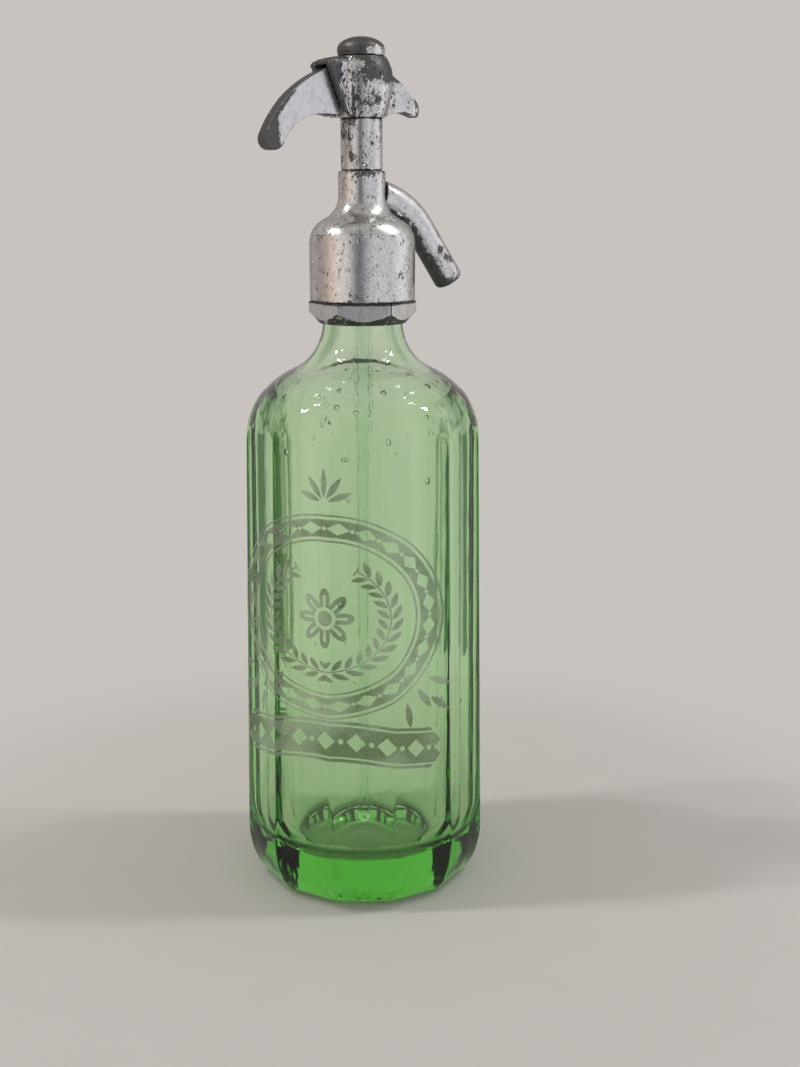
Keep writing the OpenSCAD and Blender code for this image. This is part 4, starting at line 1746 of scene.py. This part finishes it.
@dataclass
class Studio:
    """A pale floor, soft lamps, the camera and a room that metal and glass each see in their own way.

    The turns of both rings are in degrees to the right of straight ahead, and a rise is the upward
    part of a direction.
    """

    focal: float = 1450.0
    image_height: float = 1067.0
    pitch: float = math.radians(13.3)
    distance: float = 0.563
    height: float = 0.274
    aside: float = 0.0144
    sensor: float = 36.0
    nearest: float = 0.05
    floor_radius: float = 0.3
    floor_fade: Point = (0.55, 0.98)
    floor_cloth: tuple[Colour, Colour] = ((0.585, 0.56, 0.535), (0.605, 0.58, 0.555))
    cloth_scale: float = 40.0
    table_rise: Point = (-0.165, -0.10)
    table_share: float = 0.6
    ceiling_rise: Point = (0.45, 0.75)
    backdrop: Colour = (0.578, 0.546, 0.522)
    ceiling: Colour = (0.48, 0.46, 0.44)
    around_metal: tuple[Sight, ...] = (
        (-180, (0.12, 0.12, 0.13)),
        (-171, (0.05, 0.05, 0.06)),
        (-163, (0.36, 0.35, 0.36)),
        (-153, (0.84, 0.82, 0.84)),
        (-134, (0.86, 0.81, 0.78)),
        (-118, (1.00, 0.84, 0.74)),
        (-104, (0.70, 0.56, 0.46)),
        (-90, (0.46, 0.39, 0.35)),
        (-75, (0.40, 0.34, 0.33)),
        (-55, (0.56, 0.52, 0.50)),
        (-22, (0.578, 0.546, 0.522)),
        (55, (0.578, 0.546, 0.522)),
        (68, (0.98, 0.96, 1.00)),
        (95, (0.98, 0.97, 1.00)),
        (108, (0.66, 0.66, 0.72)),
        (140, (0.76, 0.76, 0.81)),
        (160, (0.66, 0.67, 0.70)),
        (173, (0.38, 0.42, 0.45)),
        (180, (0.12, 0.12, 0.13)),
    )
    around_glass: tuple[Sight, ...] = (
        (-180, (0.50, 0.48, 0.46)),
        (-160, (0.56, 0.54, 0.52)),
        (-135, (0.84, 0.83, 0.82)),
        (-110, (0.84, 0.83, 0.82)),
        (-88, (0.62, 0.58, 0.54)),
        (-74, (0.60, 0.56, 0.53)),
        (-63, (0.06, 0.14, 0.06)),
        (-36, (0.06, 0.14, 0.06)),
        (-23, (0.578, 0.546, 0.522)),
        (24, (0.578, 0.546, 0.522)),
        (37, (0.06, 0.14, 0.06)),
        (52, (0.06, 0.14, 0.06)),
        (64, (0.60, 0.56, 0.53)),
        (130, (0.64, 0.60, 0.56)),
        (180, (0.50, 0.48, 0.46)),
    )
    lamps: tuple[Lamp, ...] = (
        Lamp("left_lamp", -84, 60, 3.2),
        Lamp("low_left_lamp", -80, 46, 3.2),
        Lamp("right_lamp", 94, 60, 2.6),
        Lamp("low_right_lamp", 90, 46, 2.6),
    )

    def camera(self) -> None:
        """Places the camera where the photograph was taken from."""
        data = bpy.data.cameras.new("camera")
        data.sensor_fit = "VERTICAL"
        data.sensor_height = self.sensor
        data.lens = self.focal / self.image_height * self.sensor
        data.clip_start = self.nearest
        camera = Bench.add("camera", data)
        back = Vector((math.sin(VIEW_AZIMUTH), -math.cos(VIEW_AZIMUTH), 0))
        right = Vector((math.cos(VIEW_AZIMUTH), math.sin(VIEW_AZIMUTH), 0))
        camera.location = back * self.distance + right * self.aside + Vector((0, 0, self.height))
        camera.rotation_euler = (math.pi / 2 - self.pitch, 0, VIEW_AZIMUTH)
        bpy.context.scene.camera = camera

    def floor(self) -> None:
        """Lays a round pale floor that turns into the backdrop's colour at its rim."""
        Bench.clear()
        bpy.ops.mesh.primitive_circle_add(vertices=128, radius=self.floor_radius, fill_type="NGON")
        floor = bpy.context.object
        floor.name = "floor"
        graph = Graph.paint("pale_floor")
        x, y, _ = graph.axes(graph.point())
        out = graph.math("SQRT", x * x + y * y) / self.floor_radius
        cloth = graph.node("ShaderNodeBsdfDiffuse")
        grain = graph.noise(graph.point(), self.cloth_scale, 3)
        graph.feed(cloth.inputs["Color"], graph.blend(grain, *self.floor_cloth))
        glow = graph.node("ShaderNodeEmission")
        graph.feed(glow.inputs["Color"], self.backdrop)
        mix = graph.node("ShaderNodeMixShader")
        graph.feed(mix.inputs[0], graph.step(out, *self.floor_fade))
        graph.feed(mix.inputs[1], cloth.outputs[0])
        graph.feed(mix.inputs[2], glow.outputs[0])
        output = graph.node("ShaderNodeOutputMaterial")
        graph.feed(output.inputs["Surface"], mix.outputs[0])
        floor.data.materials.append(graph.owner)

    def world(self) -> None:
        """Sets the room: plain to the camera, and a ring of lights and darks to metal and to glass."""
        world = bpy.data.worlds.new("room")
        bpy.context.scene.world = world
        graph = Graph(world)
        turned = graph.node("ShaderNodeMapping", vector_type="POINT")
        graph.feed(turned.inputs["Vector"], graph.node("ShaderNodeTexCoord").outputs["Generated"])
        turned.inputs["Rotation"].default_value = (0, 0, -VIEW_AZIMUTH)
        right, ahead, up = graph.axes(turned.outputs[0])
        turn = graph.math("ARCTAN2", right, ahead) * (180 / math.pi)
        rays = graph.node("ShaderNodeLightPath")
        metal = graph.ring(turn, self.around_metal)
        glass = graph.ring(turn, self.around_glass)
        glass = graph.blend(graph.step(up, *self.table_rise) * self.table_share, glass, self.backdrop)
        around = graph.blend(rays.outputs["Is Transmission Ray"], metal, glass)
        around = graph.blend(graph.step(up, *self.ceiling_rise), around, self.ceiling)
        seen = graph.blend(rays.outputs["Is Camera Ray"], around, self.backdrop)
        background = graph.node("ShaderNodeBackground")
        graph.feed(background.inputs["Color"], seen)
        output = graph.node("ShaderNodeOutputWorld")
        graph.feed(output.inputs["Surface"], background.outputs[0])

    def make(self) -> None:
        """Sets up the whole studio."""
        bpy.context.scene.view_settings.view_transform = "Standard"
        self.camera()
        self.floor()
        self.world()
        for lamp in self.lamps:
            lamp.light()


def main() -> None:
    """Loads the part, dresses it and reports each piece."""
    logging.basicConfig(level=logging.INFO, format="%(name)s: %(message)s")
    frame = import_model()
    Studio().make()
    finishes = Finishes()
    bottle = GlassBottle().make(finishes)
    LOG.info("bottle: %d faces", len(bottle.data.polygons))
    for casting in HEAD_CASTINGS:
        piece = casting.make(finishes)
        LOG.info("%s: %d faces", piece.name, len(piece.data.polygons))
    spring = ReturnSpring().make(finishes)
    LOG.info("%s: %d faces", spring.name, len(spring.data.polygons))
    for slot, names in NODES_BY_SLOT.items():
        for name in names:
            finishes.dress_node(frame["nodes"][name], slot)
            LOG.info("%s: %s", name, slot.value)


if __name__ == "__main__":
    main()
